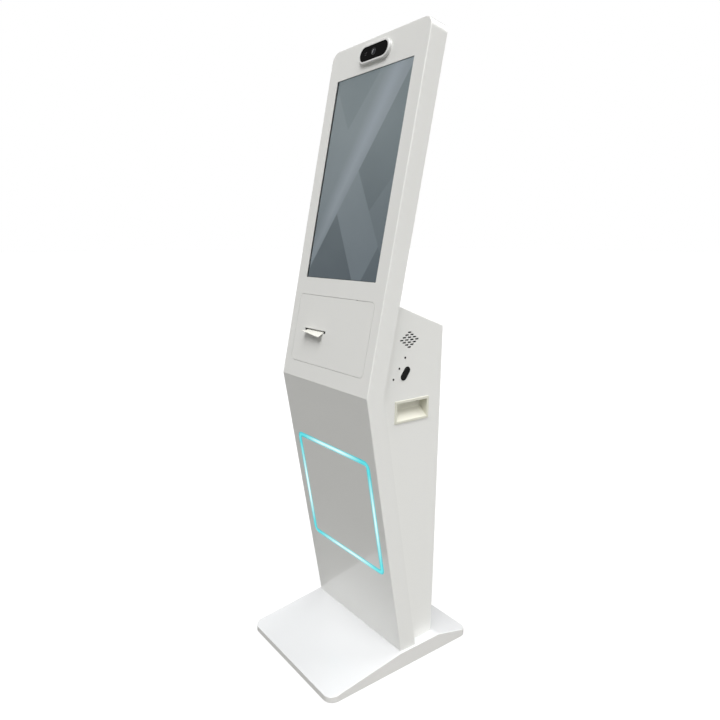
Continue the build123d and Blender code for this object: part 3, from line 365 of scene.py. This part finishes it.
tie_black = surface("cable_tie_nylon", (0.02, 0.02, 0.02), (0.35, 0.5), variation=0.1, patch=60,
                    grain=1200, depth=0.00002)
foam_grey = surface("door_seal_foam", (0.05, 0.05, 0.052), (0.8, 0.95), variation=0.2, patch=90,
                    grain=2200, depth=0.0001, cells=True)
cardboard = surface("roll_core_card", (0.42, 0.33, 0.22), (0.75, 0.9), variation=0.08, patch=120,
                    grain=900, depth=0.00005)


def paper_material():
    """Thermal paper: faint fibres and a soft sheen."""
    n = Nodes("thermal_paper")
    fibres = n.spread(n.noise(700.0, 6.0, 0.7, (1, 0.3, 1)), 0, 1)
    n.set(Base_Color=n.blend(fibres, (0.70, 0.695, 0.64), (0.76, 0.755, 0.70)))
    n.set(Roughness=n.spread(n.noise(90.0), 0.5, 0.62))
    n.bump(n.noise(1500.0, 4.0, 0.6), 0.00001)
    return n.material


def board_material():
    """Green solder mask with copper tracks showing through it."""
    n = Nodes("circuit_board")
    bricks = n.add("ShaderNodeTexBrick", offset=0.5)
    n.join(n.coords, bricks.inputs["Vector"])
    for key, value in (("Scale", 130.0), ("Mortar Size", 0.03), ("Mortar Smooth", 0.2)):
        bricks.inputs[key].default_value = value
    board = n.blend(n.spread(n.noise(60.0), 0, 1), (0.008, 0.075, 0.028), (0.014, 0.11, 0.045))
    n.set(Base_Color=n.blend(bricks.outputs["Fac"], board, (0.05, 0.22, 0.10)))
    n.set(Roughness=n.spread(n.noise(200.0), 0.29, 0.42))
    n.bump(bricks.outputs["Fac"], 0.00003)
    return n.material


def glass_material():
    """Clear cover glass with faint finger marks."""
    n = Nodes("touch_cover_glass")
    n.set(Base_Color=(0.93, 0.95, 0.95, 1), Transmission_Weight=1.0, IOR=1.45)
    marks = n.spread(n.noise(35.0, 7.0, 0.75), 0.0, 0.05, 0.5, 0.8)
    n.set(Roughness=marks)
    n.bump(n.noise(60.0, 2.0), 0.000002)
    return n.material


paper_white = paper_material()
board_green = board_material()
cover_glass = glass_material()


# ---------------------------------------------------------------- screen picture
# The wallpaper's lines as (slope, start): across = start + slope * up, both from 0 to 1.
RIDGE = (1.05, -0.045)
WEDGE_LEFT, WEDGE_RIGHT = (-1.15, 1.112), (1.282, -0.685)
FALL_RIGHT, FALL_LEFT = (-1.164, 1.123), (-1.12, 0.665)
CORNER, SHELF = (0.94, 0.774), (1.488, 0.249)
CORE_OUTER, CORE_INNER = (0.88, -0.15), (0.95, -0.05)
LINE_SOFTNESS = 0.007

# The picture's rim, from its edge inwards, is painted shade of the opening's edge: dark up to the
# first, and gone at the second.
RIM_DARK = 2.2
RIM_CLEAR = 4.6
TOP_OF_RIM = 1.005  # in heights of the picture, so a little narrower there


def screen_material():
    """A dim grey-blue wallpaper of broad, faintly lit diagonal bands."""
    n = Nodes("screen_wallpaper")
    across, up = n.split_uv()

    def times(first, second):
        return n.math("MULTIPLY", first, second)

    def outside(mask):
        return n.math("SUBTRACT", 1.0, mask)

    def beside(line, soft=LINE_SOFTNESS):
        """0 left of the line, 1 right of it, and soft wide in between."""
        slope, start = line
        place = n.math("ADD", times(up, slope), start)
        away = n.math("SUBTRACT", across, place)
        return n.math("ADD", n.math("DIVIDE", away, soft), 0.5, clamp=True)

    ridge = beside(RIDGE)
    wedge_left, wedge_right = beside(WEDGE_LEFT), beside(WEDGE_RIGHT)
    fall_right, fall_left = beside(FALL_RIGHT), beside(FALL_LEFT)
    corner, shelf = beside(CORNER), beside(SHELF)
    core = times(outside(ridge), beside(CORE_OUTER, 0.15))
    core = times(core, outside(times(beside(CORE_INNER, 0.09), 0.5)))
    wedge = n.math("MULTIPLY", wedge_left, outside(wedge_right), clamp=True)
    falling = times(times(ridge, fall_left), outside(fall_right))
    falling = times(falling, outside(corner))
    shelf_light = times(shelf, fall_right)
    triangle = times(ridge, outside(fall_left))
    light = n.math("ADD", 0.36, times(core, 0.34))
    for part, gain in ((wedge, -0.15), (ridge, -0.22), (falling, 0.27), (shelf_light, 0.12),
                       (triangle, -0.05)):
        light = n.math("ADD", light, times(part, gain))
    haze = n.spread(n.noise(6.0, 2.0, 0.4), -0.04, 0.06)
    light = n.math("ADD", light, haze, clamp=True)
    shade = n.spread(up, 0.0, 1.0, 0.0, 0.75)
    dark = n.blend(shade, (0.061, 0.079, 0.093), (0.138, 0.170, 0.181))
    pale = n.blend(shade, (0.242, 0.284, 0.316), (0.338, 0.376, 0.400))
    pale = n.blend(times(core, shade), pale, (0.344, 0.378, 0.425))
    picture = n.blend(light, dark, pale)
    # Painted shade: the picture darkens towards its rim, where the opening's edge shades it.
    side_inset = n.math("MINIMUM", across, outside(across))
    end_inset = n.math("MINIMUM", up, n.math("SUBTRACT", TOP_OF_RIM, up))
    inset = n.math("MINIMUM", times(side_inset, PICTURE_W), times(end_inset, PICTURE_H))
    picture = n.blend(n.spread(inset, 0, 1, RIM_DARK, RIM_CLEAR), (0.022, 0.030, 0.032), picture)
    n.set(Base_Color=n.blend(0.06, (0.004, 0.004, 0.005), picture), Roughness=0.4)
    n.set(Emission_Color=picture, Emission_Strength=1.0)
    return n.material


def rounded_outline(width, height, radius, steps):
    """Points round a rounded rectangle centred on the origin, anticlockwise."""
    points = []
    for corner, (sx, sy) in enumerate(((1, 1), (-1, 1), (-1, -1), (1, -1))):
        cx, cy = sx * (width / 2 - radius), sy * (height / 2 - radius)
        for i in range(steps + 1):
            angle = math.radians(90 * corner + 90 * i / steps)
            points.append((cx + radius * math.cos(angle), cy + radius * math.sin(angle)))
    return points


def tube_faces(count, rings, closed=True):
    """Quads between rings of count points each; closed joins the last ring to the first."""
    faces = []
    for k in range(rings if closed else rings - 1):
        a, b = k * count, ((k + 1) % rings) * count
        for i in range(count):
            j = (i + 1) % count
            faces.append((a + i, a + j, b + j, b + i))
    return faces


def grid_faces(columns, rows):
    """Quads of a grid whose points are listed row by row, one more of them each way."""
    width = columns + 1
    starts = [j * width + i for j in range(rows) for i in range(columns)]
    return [(a, a + 1, a + width + 1, a + width) for a in starts]


def build_screen():
    """The lit picture on the panel's face and the black print round it on the glass."""
    left, bottom = -PICTURE_W / 2, SCREEN_V - PICTURE_H / 2
    columns, rows = 12, 20
    verts, uvs = [], []
    for j in range(rows + 1):
        for i in range(columns + 1):
            u, v = i / columns, j / rows
            verts.append((left + u * PICTURE_W, bottom + v * PICTURE_H, -PICTURE_DEPTH))
            uvs.append((u, v))
    faces = grid_faces(columns, rows)
    mesh_piece("screen_picture", verts, faces, screen_material(), "kiosk", HEAD, uvs)
    outer = rounded_outline(SCREEN_W + 2 * PRINT_MARGIN, SCREEN_H + 2 * PRINT_MARGIN, 3, 6)
    inner = rounded_outline(PICTURE_W - 0.6, PICTURE_H - 0.6, 0.8, 6)
    verts = [(x, SCREEN_V + y, -PRINT_DEPTH) for x, y in outer + inner]
    faces = tube_faces(len(outer), 2, closed=False)
    mesh_piece("glass_border_print", verts, faces, gloss_black, "kiosk", HEAD)


# ---------------------------------------------------------------- light ring
def ring_material():
    """Lit cyan acrylic: nearly white along each side's middle, deeper at edges and corners."""
    n = Nodes("lit_cyan_acrylic")
    over, along = n.split_uv()
    off = n.math("ABSOLUTE", n.math("SUBTRACT", over, 0.5))
    core = n.spread(off, 1.0, 0.0, 0.10, 0.5)
    middle = n.spread(along, 0.0, 1.0, 0.05, 0.36)
    drift = n.spread(n.noise(9.0, 2.0, 0.5), 0.75, 1.15, 0.35, 0.65)
    white = n.math("MULTIPLY", n.math("MULTIPLY", core, middle), drift, clamp=True)
    edge = n.blend(core, (0.02, 0.40, 0.47), (0.07, 0.66, 0.71))
    glow = n.blend(white, edge, (0.84, 0.98, 0.97))
    n.set(Base_Color=n.blend(core, (0.03, 0.20, 0.22), (0.10, 0.30, 0.31)), Roughness=0.35)
    n.set(Emission_Color=glow, Emission_Strength=0.92)
    return n.material


def build_ring():
    """Diffuser of the light ring: a frosted bar, slightly domed, filling the slot in the leg.

    Its profile is (offset from the ring's centre line, height over the leg's face)."""
    side = RING_BAND / 2 - RING_GAP
    half = [(side, -RING_DEPTH), (side, -0.9), (side - 0.5, -0.35), (side / 2, -0.05)]
    profile = [(-grow, height) for grow, height in half] + [(0, 0.1)] + half[::-1]
    corner_steps, side_steps = 8, 10
    verts, uvs = [], []
    for grow, height in profile:
        outline = rounded_outline(RING_W + 2 * grow, RING_H + 2 * grow, RING_R + grow, corner_steps)
        for x, y, along in side_points(outline, corner_steps, side_steps):
            verts.append((x, RING_V + y, height))
            uvs.append(((grow + side) / (2 * side), along))
    faces = tube_faces(len(verts) // len(profile), len(profile))
    ring = mesh_piece("ring_diffuser", verts, faces, ring_material(), "kiosk",
                      LEG, uvs)
    face_outwards(ring)
    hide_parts("light_diffuser")


def side_points(outline, steps, side_steps):
    """A rounded outline with more points on its straight sides, as (x, y, along).

    along is 0 on the corners and rises to 0.5 at the middle of each side."""
    points = []
    for corner in range(4):
        arc = outline[corner * (steps + 1):(corner + 1) * (steps + 1)]
        points += [(x, y, 0.0) for x, y in arc]
        (x0, y0), (x1, y1) = arc[-1], outline[((corner + 1) * (steps + 1)) % len(outline)]
        for i in range(1, side_steps):
            t = i / side_steps
            points.append((x0 + t * (x1 - x0), y0 + t * (y1 - y0), min(t, 1 - t)))
    return points


def face_outwards(piece, weld=False):
    """Turn a closed mesh's faces outwards, first merging points that coincide if weld is set."""
    mesh = bmesh.new()
    mesh.from_mesh(piece.data)
    if weld:
        bmesh.ops.remove_doubles(mesh, verts=mesh.verts, dist=0.005 * MM)
    bmesh.ops.recalc_face_normals(mesh, faces=mesh.faces)
    mesh.to_mesh(piece.data)
    mesh.free()


def lathe(name, profile, centre, place, material, body, steps=48):
    """A turned piece from (radius, height) points, swept round the frame's z axis at centre.

    The profile closes on itself, unless it starts or ends on the axis."""
    verts = []
    for radius, height in profile:
        for i in range(steps):
            angle = 2 * math.pi * i / steps
            x, y = radius * math.cos(angle), radius * math.sin(angle)
            verts.append((centre[0] + x, centre[1] + y, centre[2] + height))
    closed = profile[0][0] > 0 and profile[-1][0] > 0
    faces = tube_faces(steps, len(profile), closed)
    piece = mesh_piece(name, verts, faces, material, body, place)
    face_outwards(piece, weld=True)


def build_ticket():
    """The printed ticket: flat in the printer, its free end curling up at the left corner."""
    columns, rows = 20, 26
    lip, sag_reach = 1.5, 12
    verts = []
    for side in (-0.5, 0.5):
        for j in range(rows + 1):
            s = -TICKET_INSIDE + (TICKET_OUTSIDE + TICKET_INSIDE) * j / rows
            free = max(0.0, (s - lip) / (TICKET_OUTSIDE - lip))
            near = min(1.0, max(0.0, (s + sag_reach) / sag_reach))
            sag = TICKET_SAG * near * near * (3 - 2 * near)
            for i in range(columns + 1):
                t = i / columns
                curl = TICKET_CURL * (1 - t) ** 1.3 + 0.8 * math.sin(math.pi * t)
                lift = free ** 1.5 * curl
                pull = 0.14 * lift * free
                height = side * TICKET_THICKNESS + lift - sag
                verts.append((-PAPER_W / 2 + PAPER_W * t, height, s - pull))
    width = columns + 1
    layer = width * (rows + 1)
    faces = []
    for a, b, c, d in grid_faces(columns, rows):
        faces += [(a, b, c, d), (layer + a, layer + d, layer + c, layer + b)]
    rim = list(range(columns)) + [j * width + columns for j in range(rows)]
    rim += [rows * width + columns - i for i in range(columns)]
    rim += [(rows - j) * width for j in range(rows)]
    for a, b in zip(rim, rim[1:] + rim[:1]):
        faces.append((a, b, layer + b, layer + a))
    ticket = mesh_piece("printed_ticket", verts, faces, paper_white, "ticket",
                        PAPER_PATH)
    face_outwards(ticket)
    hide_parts("ticket")


def build_camera_optics():
    """Lens, its ring and a small sensor group, just proud of the black camera window."""
    at = (0, LENS_V, LENS_FACE)
    ring = [(8.6, -0.2), (8.9, 0.1), (8.5, 0.35), (7.4, 0.35), (6.6, 0.05), (6.6, -0.2)]
    lens = [(6.5, -0.2), (6.3, 0.05), (4.5, 0.3), (2.2, 0.42), (0, 0.45)]
    sensor = [(1.5, -0.2), (1.45, 0.1), (1.0, 0.3), (0, 0.38)]
    lathe("camera_lens_ring", ring, at, HEAD, lens_rim, "kiosk")
    lathe("camera_lens", lens, at, HEAD, lens_glass, "kiosk")
    for i, (x, v) in enumerate(((-33, 2.5), (-28.5, 2.5), (-33, -2.5), (-28.5, -2.5))):
        lathe(f"camera_sensor_{i + 1}", sensor, (x, LENS_V + v, LENS_FACE), HEAD, lens_rim,
              "kiosk", 20)


class Cluster:
    """Small solids gathered into one mesh, in a panel's frame or the kiosk's own."""

    def __init__(self):
        self.mesh = bmesh.new()

    def block(self, lo, hi, bevel):
        """Box from corner to corner with softened edges."""
        size = Vector(hi) - Vector(lo)
        middle = (Vector(hi) + Vector(lo)) / 2
        place = Matrix.Translation(middle) @ Matrix.Diagonal((*size, 1))
        made = bmesh.ops.create_cube(self.mesh, size=1, matrix=place)
        edges = list({edge for vert in made["verts"] for edge in vert.link_edges})
        bmesh.ops.bevel(self.mesh, geom=edges, offset=bevel, segments=2, profile=0.6,
                        affect="EDGES")

    def turned(self, profile, centre, axis, steps):
        """Turned solid from (radius, height) points along axis.

        The points start and end on the axis, or end where they start, off it."""
        spin = {"Z": Matrix.Identity(4), "Y": Matrix.Rotation(-math.pi / 2, 4, "X")}[axis]
        place = Matrix.Translation(Vector(centre)) @ spin
        rings = []
        for radius, height in profile:
            ring = []
            for i in range(steps if radius else 1):
                angle = 2 * math.pi * i / steps
                point = Vector((radius * math.cos(angle), radius * math.sin(angle), height))
                ring.append(self.mesh.verts.new(place @ point))
            rings.append(ring)
        for low, high in zip(rings, rings[1:]):
            for i in range(steps):
                j = (i + 1) % steps
                loop = [low[i % len(low)], low[j % len(low)],
                        high[j % len(high)], high[i % len(high)]]
                loop = [vert for k, vert in enumerate(loop) if vert not in loop[:k]]
                self.mesh.faces.new(loop)

    def finish(self, name, place, material, body, slot):
        """Make the gathered mesh a named piece on a body."""
        bmesh.ops.recalc_face_normals(self.mesh, faces=self.mesh.faces)
        mesh = bpy.data.meshes.new(name)
        self.mesh.to_mesh(mesh)
        self.mesh.free()
        mesh.transform(Matrix.Scale(MM, 4))
        if place is not None:
            mesh.transform(place)
        mesh.materials.append(material)
        piece = link(bpy.data.objects.new(name, mesh))
        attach(piece, body)


def chips(name, level, body, spots):
    """Leaded chips behind a board's face at level, in the head's frame: (x, v, width, height)."""
    bodies, legs = Cluster(), Cluster()
    for x, v, width, height in spots:
        bodies.block((x - width / 2, v - height / 2, level - 2.0),
                     (x + width / 2, v + height / 2, level - 0.3), 0.25)
        count = int(width // LEG_PITCH)
        for i in range(count):
            at = x - width / 2 + (i + 0.5) * width / count
            for side in (-1, 1):
                edge = sorted((v + side * (height / 2 - 0.3), v + side * (height / 2 + 1.2)))
                legs.block((at - 0.3, edge[0], level - 0.7), (at + 0.3, edge[1], level), 0.08)
    bodies.finish(name, HEAD, chip_black, body, "black_plastic")
    legs.finish(name + "_legs", HEAD, tin, body, "bare_steel")


def capacitors(name, level, body, spots):
    """Electrolytic cans behind a board's face at level: (x, v, radius, height)."""
    cans = Cluster()
    for x, v, radius, height in spots:
        shape = [(0, 0), (0.96, 0), (1, 0.1), (0.9, 0.16), (1, 0.22), (1, 0.94), (0.92, 1),
                 (0.75, 0.97), (0, 0.97)]
        profile = [(wide * radius, -high * height) for wide, high in shape]
        cans.turned(profile, (x, v, level), "Z", 20)
    cans.finish(name, HEAD, can_silver, body, "bare_steel")


def headers(name, level, body, spots):
    """White wire-to-board connectors with pins, behind a board's face at level: (x, v, ways)."""
    shells, pins = Cluster(), Cluster()
    deep, inner, tall, floor = 2.9, 2.1, 5.8, 1.2
    for x, v, ways in spots:
        half = (PIN_PITCH * ways + 2.4) / 2
        walls = (((x - half, v - deep), (x + half, v + deep), floor),
                 ((x - half, v + inner), (x + half, v + deep), tall),
                 ((x - half, v - deep), (x - half / 2, v - inner), tall),
                 ((x + half / 2, v - deep), (x + half, v - inner), tall),
                 ((x - half, v - deep), (x - half + 0.8, v + deep), tall),
                 ((x + half - 0.8, v - deep), (x + half, v + deep), tall))
        for low, high, height in walls:
            shells.block((*low, level - height), (*high, level), 0.15)
        for i in range(ways):
            at = x + (i - (ways - 1) / 2) * PIN_PITCH
            pins.block((at - 0.32, v - 0.32, level - 4.6), (at + 0.32, v + 0.32, level - 1.0), 0.1)
    shells.finish(name, HEAD, nylon_white, body, "cream_plastic")
    pins.finish(name + "_pins", HEAD, tin, body, "bare_steel")


def build_throat():
    """Black moulded mouth behind the ticket slot, slanted along the paper's path; its near-black is
    painted shade of the slot's inside.

    Its section is (depth behind the door's face, growth of the outline)."""
    slope = math.tan(math.radians(PAPER_PATH_ANGLE))
    section = [(2.05, 0.0), (8.6, 0.0), (8.6, 0.8), (2.9, 0.8), (2.9, 3.6), (2.05, 3.6)]
    verts = []
    for depth, grow in section:
        middle = SLOT_V + slope * (depth - SLOT_DEPTH)
        outline = rounded_outline(THROAT_W + 2 * grow, THROAT_H + 2 * grow, THROAT_R + grow, 4)
        verts += [(SLOT_X + x, middle + y, -depth) for x, y in outline]
    faces = tube_faces(len(verts) // len(section), len(section))
    throat = mesh_piece("paper_throat", verts, faces, hole_painted_shade, "printer_door",
                        HEAD, smooth=False)
    face_outwards(throat)


def build_board_parts():
    """Components on the display driver board, the printer's board and the camera's board."""
    level, body = DISPLAY_BOARD_FACE, "kiosk"
    middle = SCREEN_V - 80
    chips("display_chips", level, body, [(38, middle + 12, 14, 10), (-44, middle + 18, 10, 7),
                                         (-44, middle - 4, 8, 6), (36, middle - 8, 8, 6)])
    capacitors("display_capacitors", level, body,
               [(-30, middle - 28, 4, 9), (-41, middle - 28, 4, 9), (-52, middle - 28, 3, 7),
                (58, middle + 24, 3, 7)])
    headers("display_headers", level, body, [(-44, middle + 34, 6), (10, middle + 34, 10)])
    level, body = PRINTER_BOARD_FACE, "printer_door"
    chips("printer_chips", level, body, [(48, 136, 12, 9), (14, 118, 9, 6), (54, 160, 8, 6)])
    capacitors("printer_capacitors", level, body,
               [(4, 160, 4, 9), (4, 149, 4, 9), (38, 178, 3, 6)])
    headers("printer_headers", level, body, [(4, 182, 5), (40, 108, 8), (18, 104, 4)])
    level, body = CAMERA_BOARD_FACE, "kiosk"
    chips("camera_chips", level, body, [(-28, LENS_V - 2, 10, 8), (-12, LENS_V + 10, 6, 4)])
    capacitors("camera_capacitors", level, body,
               [(-40, LENS_V + 9, 2.2, 4), (-40, LENS_V - 9, 2.2, 4)])


def build_equipment_detail():
    """Ports, screws and terminals on the boxes in the cabinet."""
    steel, black, silver = Cluster(), Cluster(), Cluster()
    screw = [(0, 0), (3.0, 0), (3.0, 0.9), (2.3, 1.5), (1.0, 1.7), (0.9, 1.1), (0, 1.1)]
    for x0, x1, z0, z1, face in (COMPUTER_BOX, SUPPLY_BOX, DRIVER_BOX):
        for x in (x0 + 8, x1 - 8):
            for z in (z0 + 8, z1 - 8):
                steel.turned(screw, (x, face, z), "Y", 18)

    # Ports on the computer's top: middle, half width, front, back, height, wall at sides and ends.
    ports = ((-92, 7.5, 70, 77, 2.5, 1.2, 1.2), (-74, 7.5, 70, 77, 2.5, 1.2, 1.2),
             (-50, 8, 68, 82, 2.5, 1.5, 1.5), (-20, 8, 70, 77, 2, 1.2, 1),
             (-2, 8, 70, 77, 2, 1.2, 1))
    top = COMPUTER_BOX[3]
    for x, half, y0, y1, tall, wall, end in ports:
        silver.block((x - half, y0, top), (x + half, y1, top + tall), 0.3)
        black.block((x - half + wall, y0 + end, top + tall),
                    (x + half - wall, y1 - end, top + tall + 0.4), 0.1)

    # Terminal strip on the power supply's top, with a screw between each pair of its ribs.
    left, length, ways, top = -98, 86, 7, SUPPLY_BOX[3]
    black.block((left, 66, top), (left + length, 92, top + 3), 0.4)
    black.block((left, 66, top + 3), (left + length, 68, top + 14), 0.3)
    for i in range(ways + 1):
        x = left + length * i / ways
        black.block((x - 0.8 if i else x, 68, top + 3), (x + 0.8 if i < ways else x, 90, top + 12),
                    0.2)
    terminal = [(0, 0), (3.1, 0), (3.1, 1.4), (2.6, 1.9), (0.9, 1.9), (0.8, 1.3), (0, 1.3)]
    for i in range(ways):
        steel.turned(terminal, (left + length * (i + 0.5) / ways, 80, top + 3), "Z", 18)
    steel.finish("equipment_screws", None, steel_bolt, "kiosk", "bolt_steel")
    black.finish("equipment_sockets", None, chip_black, "kiosk", "black_plastic")
    silver.finish("equipment_port_shells", None, tin, "kiosk", "bare_steel")


def build_ties():
    """Nylon ties round the upright cables, each with its locking head."""
    ties = Cluster()
    for x, y, radius, heights in CABLE_TIES:
        for z in heights:
            band = [(radius - 0.1, -1.2), (radius + 0.9, -1.2), (radius + 0.9, 1.2),
                    (radius - 0.1, 1.2), (radius - 0.1, -1.2)]
            ties.turned(band, (x, y, z), "Z", 24)
            ties.block((x - 2, y + radius + 0.4, z - 1.8), (x + 2, y + radius + 3.2, z + 1.8), 0.4)
    ties.finish("cable_ties", None, tie_black, "kiosk", "black_plastic")


def build_door_seal():
    """Foam strip inside the rear door's flange."""
    outer, inner = rounded_outline(*SEAL_OUTER, 4), rounded_outline(*SEAL_INNER, 4)
    verts = []
    for outline, depth in ((outer, SEAL_BACK), (outer, SEAL_FRONT), (inner, SEAL_FRONT),
                           (inner, SEAL_BACK)):
        verts += [(x, depth, SEAL_MIDDLE + y) for x, y in outline]
    faces = tube_faces(len(inner), 4)
    seal = mesh_piece("rear_door_seal", verts, faces, foam_grey, "rear_door",
                      smooth=False)
    face_outwards(seal)


def build_roll_core():
    """Both ends of the card tube in the middle of the paper roll."""
    profile = [(6.2, -0.2), (9.2, -0.2), (9.2, 0.6), (8.8, 0.8), (6.6, 0.8), (6.2, 0.6)]
    for side, out in (("left", -1), ("right", 1)):
        at = Vector((SLOT_X + out * PAPER_W / 2, ROLL_V, -ROLL_DEPTH)) * MM
        place = HEAD @ Matrix.Translation(at) @ Matrix.Rotation(out * math.pi / 2, 4, "Y")
        lathe(f"roll_core_{side}", profile, (0, 0, 0), place, cardboard, "paper_roll",
              40)


# ---------------------------------------------------------------- finishes of the CAD nodes
FINISHES = {
    "base_cover": paint_base, "base_plate": motor_black, "base_feet": rubber_black,
    "base_spacers": steel_zinc, "base_bolts": steel_bolt, "cabinet_floor": steel_zinc,
    "front_shell": paint_front, "head_back_cover": paint_white, "cover_rails": steel_zinc,
    "cover_screws": steel_bolt, "screen_gasket": foam_black, "touch_glass": cover_glass,
    "lcd_panel": lcd_metal, "screen_rails": steel_zinc, "display_board": board_green,
    "camera_housing": camera_white, "camera_window": camera_black, "camera_module": board_green,
    "door_pivots": steel_zinc, "door_magnets": magnet_grey, "light_panel": paint_front,
    "light_tray": steel_zinc, "led_strip": board_green, "cabinet_shell": paint_white,
    # The accessory nuts are near-black: painted shade of their holes.
    "accessory_nuts": hole_painted_shade, "port_plug": rubber_plug, "handle_right": plastic_cream,
    "handle_left": plastic_cream, "speakers": cloth_black, "speaker_cones": cone_paper,
    "rear_door_pivots": steel_zinc, "equipment_plate": steel_zinc, "computer": plastic_grey,
    "power_supply": plastic_grey, "light_driver": plastic_grey, "mains_inlet": plastic_black,
    "switch_body": plastic_black, "mains_cable": cable_black, "light_cable": cable_black,
    "video_cable": cable_black, "printer_door": paint_front, "printer_frame": steel_zinc,
    "print_head": motor_black, "fixed_blade": steel_blade, "feed_motor": motor_black,
    "printer_board": board_green, "roll_holder": plastic_black, "paper_web": paper_white,
    "paper_roll": paper_white, "platen_roller": roller_rubber, "ticket": paper_white,
    "cutter_blade": steel_blade, "feed_button": plastic_cream, "rear_door": paint_white,
    "lock_body": chrome, "fan_frame": plastic_black, "lock_cam": steel_bolt,
    "fan_rotor": plastic_black, "switch_rocker": gloss_black,
}


def dress_nodes():
    """Give each visible CAD node its material."""
    for name, material in FINISHES.items():
        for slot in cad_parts[name].material_slots:
            slot.material = material


# ---------------------------------------------------------------- studio
# Colours and strengths of the studio. The camera sees a nearly white floor and room, and the
# kiosk is lit by darker ones.
FLOOR_REACH = 60.0  # metres
FLOOR_COLOUR = (0.86, 0.86, 0.86, 1)
FLOOR_GLOW = 1.04
FLOOR_GLOW_SHARE = 0.72
FLOOR_BOUNCE = (0.22, 0.22, 0.215, 1)
PURE_WHITE = (1.0, 1.0, 1.0, 1)
ROOM_COLOUR = (1.0, 0.995, 0.98, 1)
ROOM_STRENGTH = 0.205

# Lamps: name, azimuth from the front towards the right side, elevation, strength and spread.
SUNS = (("key_soft", 33, 61.5, 3.0, 45), ("side_soft", 95, 25, 1.0, 45),
        ("back_soft", 170, 45, 1.6, 50), ("left_soft", 275, 28, 0.5, 35))


def build_stage():
    """Pale floor, whose light on the kiosk is held down."""
    material = bpy.data.materials.new("pale_floor")
    material.use_nodes = True
    tree = material.node_tree
    tree.nodes.clear()
    pale, glow, bounce = (tree.nodes.new("ShaderNode" + kind) for kind in
                          ("BsdfDiffuse", "Emission", "BsdfDiffuse"))
    pale.inputs["Color"].default_value = FLOOR_COLOUR
    glow.inputs["Color"].default_value = PURE_WHITE
    glow.inputs["Strength"].default_value = FLOOR_GLOW
    bounce.inputs["Color"].default_value = FLOOR_BOUNCE
    seen, choose = (tree.nodes.new("ShaderNodeMixShader") for i in range(2))
    seen.inputs[0].default_value = FLOOR_GLOW_SHARE
    path = tree.nodes.new("ShaderNodeLightPath")
    out = tree.nodes.new("ShaderNodeOutputMaterial")
    tree.links.new(pale.outputs[0], seen.inputs[1])
    tree.links.new(glow.outputs[0], seen.inputs[2])
    tree.links.new(path.outputs["Is Camera Ray"], choose.inputs[0])
    tree.links.new(bounce.outputs[0], choose.inputs[1])
    tree.links.new(seen.outputs[0], choose.inputs[2])
    tree.links.new(choose.outputs[0], out.inputs[0])
    reach = FLOOR_REACH
    corners = [(-reach, -reach, 0), (reach, -reach, 0), (reach, reach, 0), (-reach, reach, 0)]
    mesh = bpy.data.meshes.new("studio_floor")
    mesh.from_pydata(corners, [], [(0, 1, 2, 3)])
    mesh.materials.append(material)
    floor = link(bpy.data.objects.new("studio_floor", mesh))


def toward(azimuth, elevation):
    """Unit vector from the kiosk, with azimuth from the front towards the right side."""
    a, e = math.radians(azimuth), math.radians(elevation)
    return Vector((math.cos(e) * math.sin(a), -math.cos(e) * math.cos(a), math.sin(e)))


def add_sun(name, azimuth, elevation, strength, spread):
    """A sun lamp that shines from the given direction, as wide as spread."""
    data = bpy.data.lights.new(name, "SUN")
    data.energy = strength
    data.angle = math.radians(spread)
    lamp = link(bpy.data.objects.new(name, data))
    lamp.rotation_euler = toward(azimuth, elevation).to_track_quat("Z", "Y").to_euler()


def build_lights():
    """Broad soft lamps from above the front, both sides and behind, in a dim room."""
    world = bpy.data.worlds.new("studio_world")
    world.use_nodes = True
    tree = world.node_tree
    seen = tree.nodes["Background"]
    seen.inputs["Color"].default_value = PURE_WHITE
    room = tree.nodes.new("ShaderNodeBackground")
    room.inputs["Color"].default_value = ROOM_COLOUR
    room.inputs["Strength"].default_value = ROOM_STRENGTH
    path, choose = tree.nodes.new("ShaderNodeLightPath"), tree.nodes.new("ShaderNodeMixShader")
    tree.links.new(path.outputs["Is Camera Ray"], choose.inputs[0])
    tree.links.new(room.outputs[0], choose.inputs[1])
    tree.links.new(seen.outputs[0], choose.inputs[2])
    tree.links.new(choose.outputs[0], tree.nodes["World Output"].inputs["Surface"])
    bpy.context.scene.world = world
    for sun in SUNS:
        add_sun(*sun)


def build_camera():
    """The view of the kiosk from its front right, with its turn given by azimuth and elevation."""
    data = bpy.data.cameras.new("camera")
    data.lens = VIEW_LENS
    data.sensor_width = VIEW_SENSOR
    data.shift_x, data.shift_y = VIEW_SHIFT
    data.clip_end = VIEW_REACH
    camera = link(bpy.data.objects.new("camera", data))
    back = toward(VIEW_AZIMUTH, VIEW_ELEVATION)
    camera.location = VIEW_PLACE
    camera.rotation_mode = "QUATERNION"
    camera.rotation_quaternion = (-back).to_track_quat("-Z", "Y")
    bpy.context.scene.camera = camera


build_camera()
build_stage()
build_lights()
bpy.context.scene.view_settings.view_transform = "Standard"
dress_nodes()
build_screen()
build_ring()
build_ticket()
build_camera_optics()
build_throat()
build_board_parts()
build_equipment_detail()
build_ties()
build_door_seal()
build_roll_core()
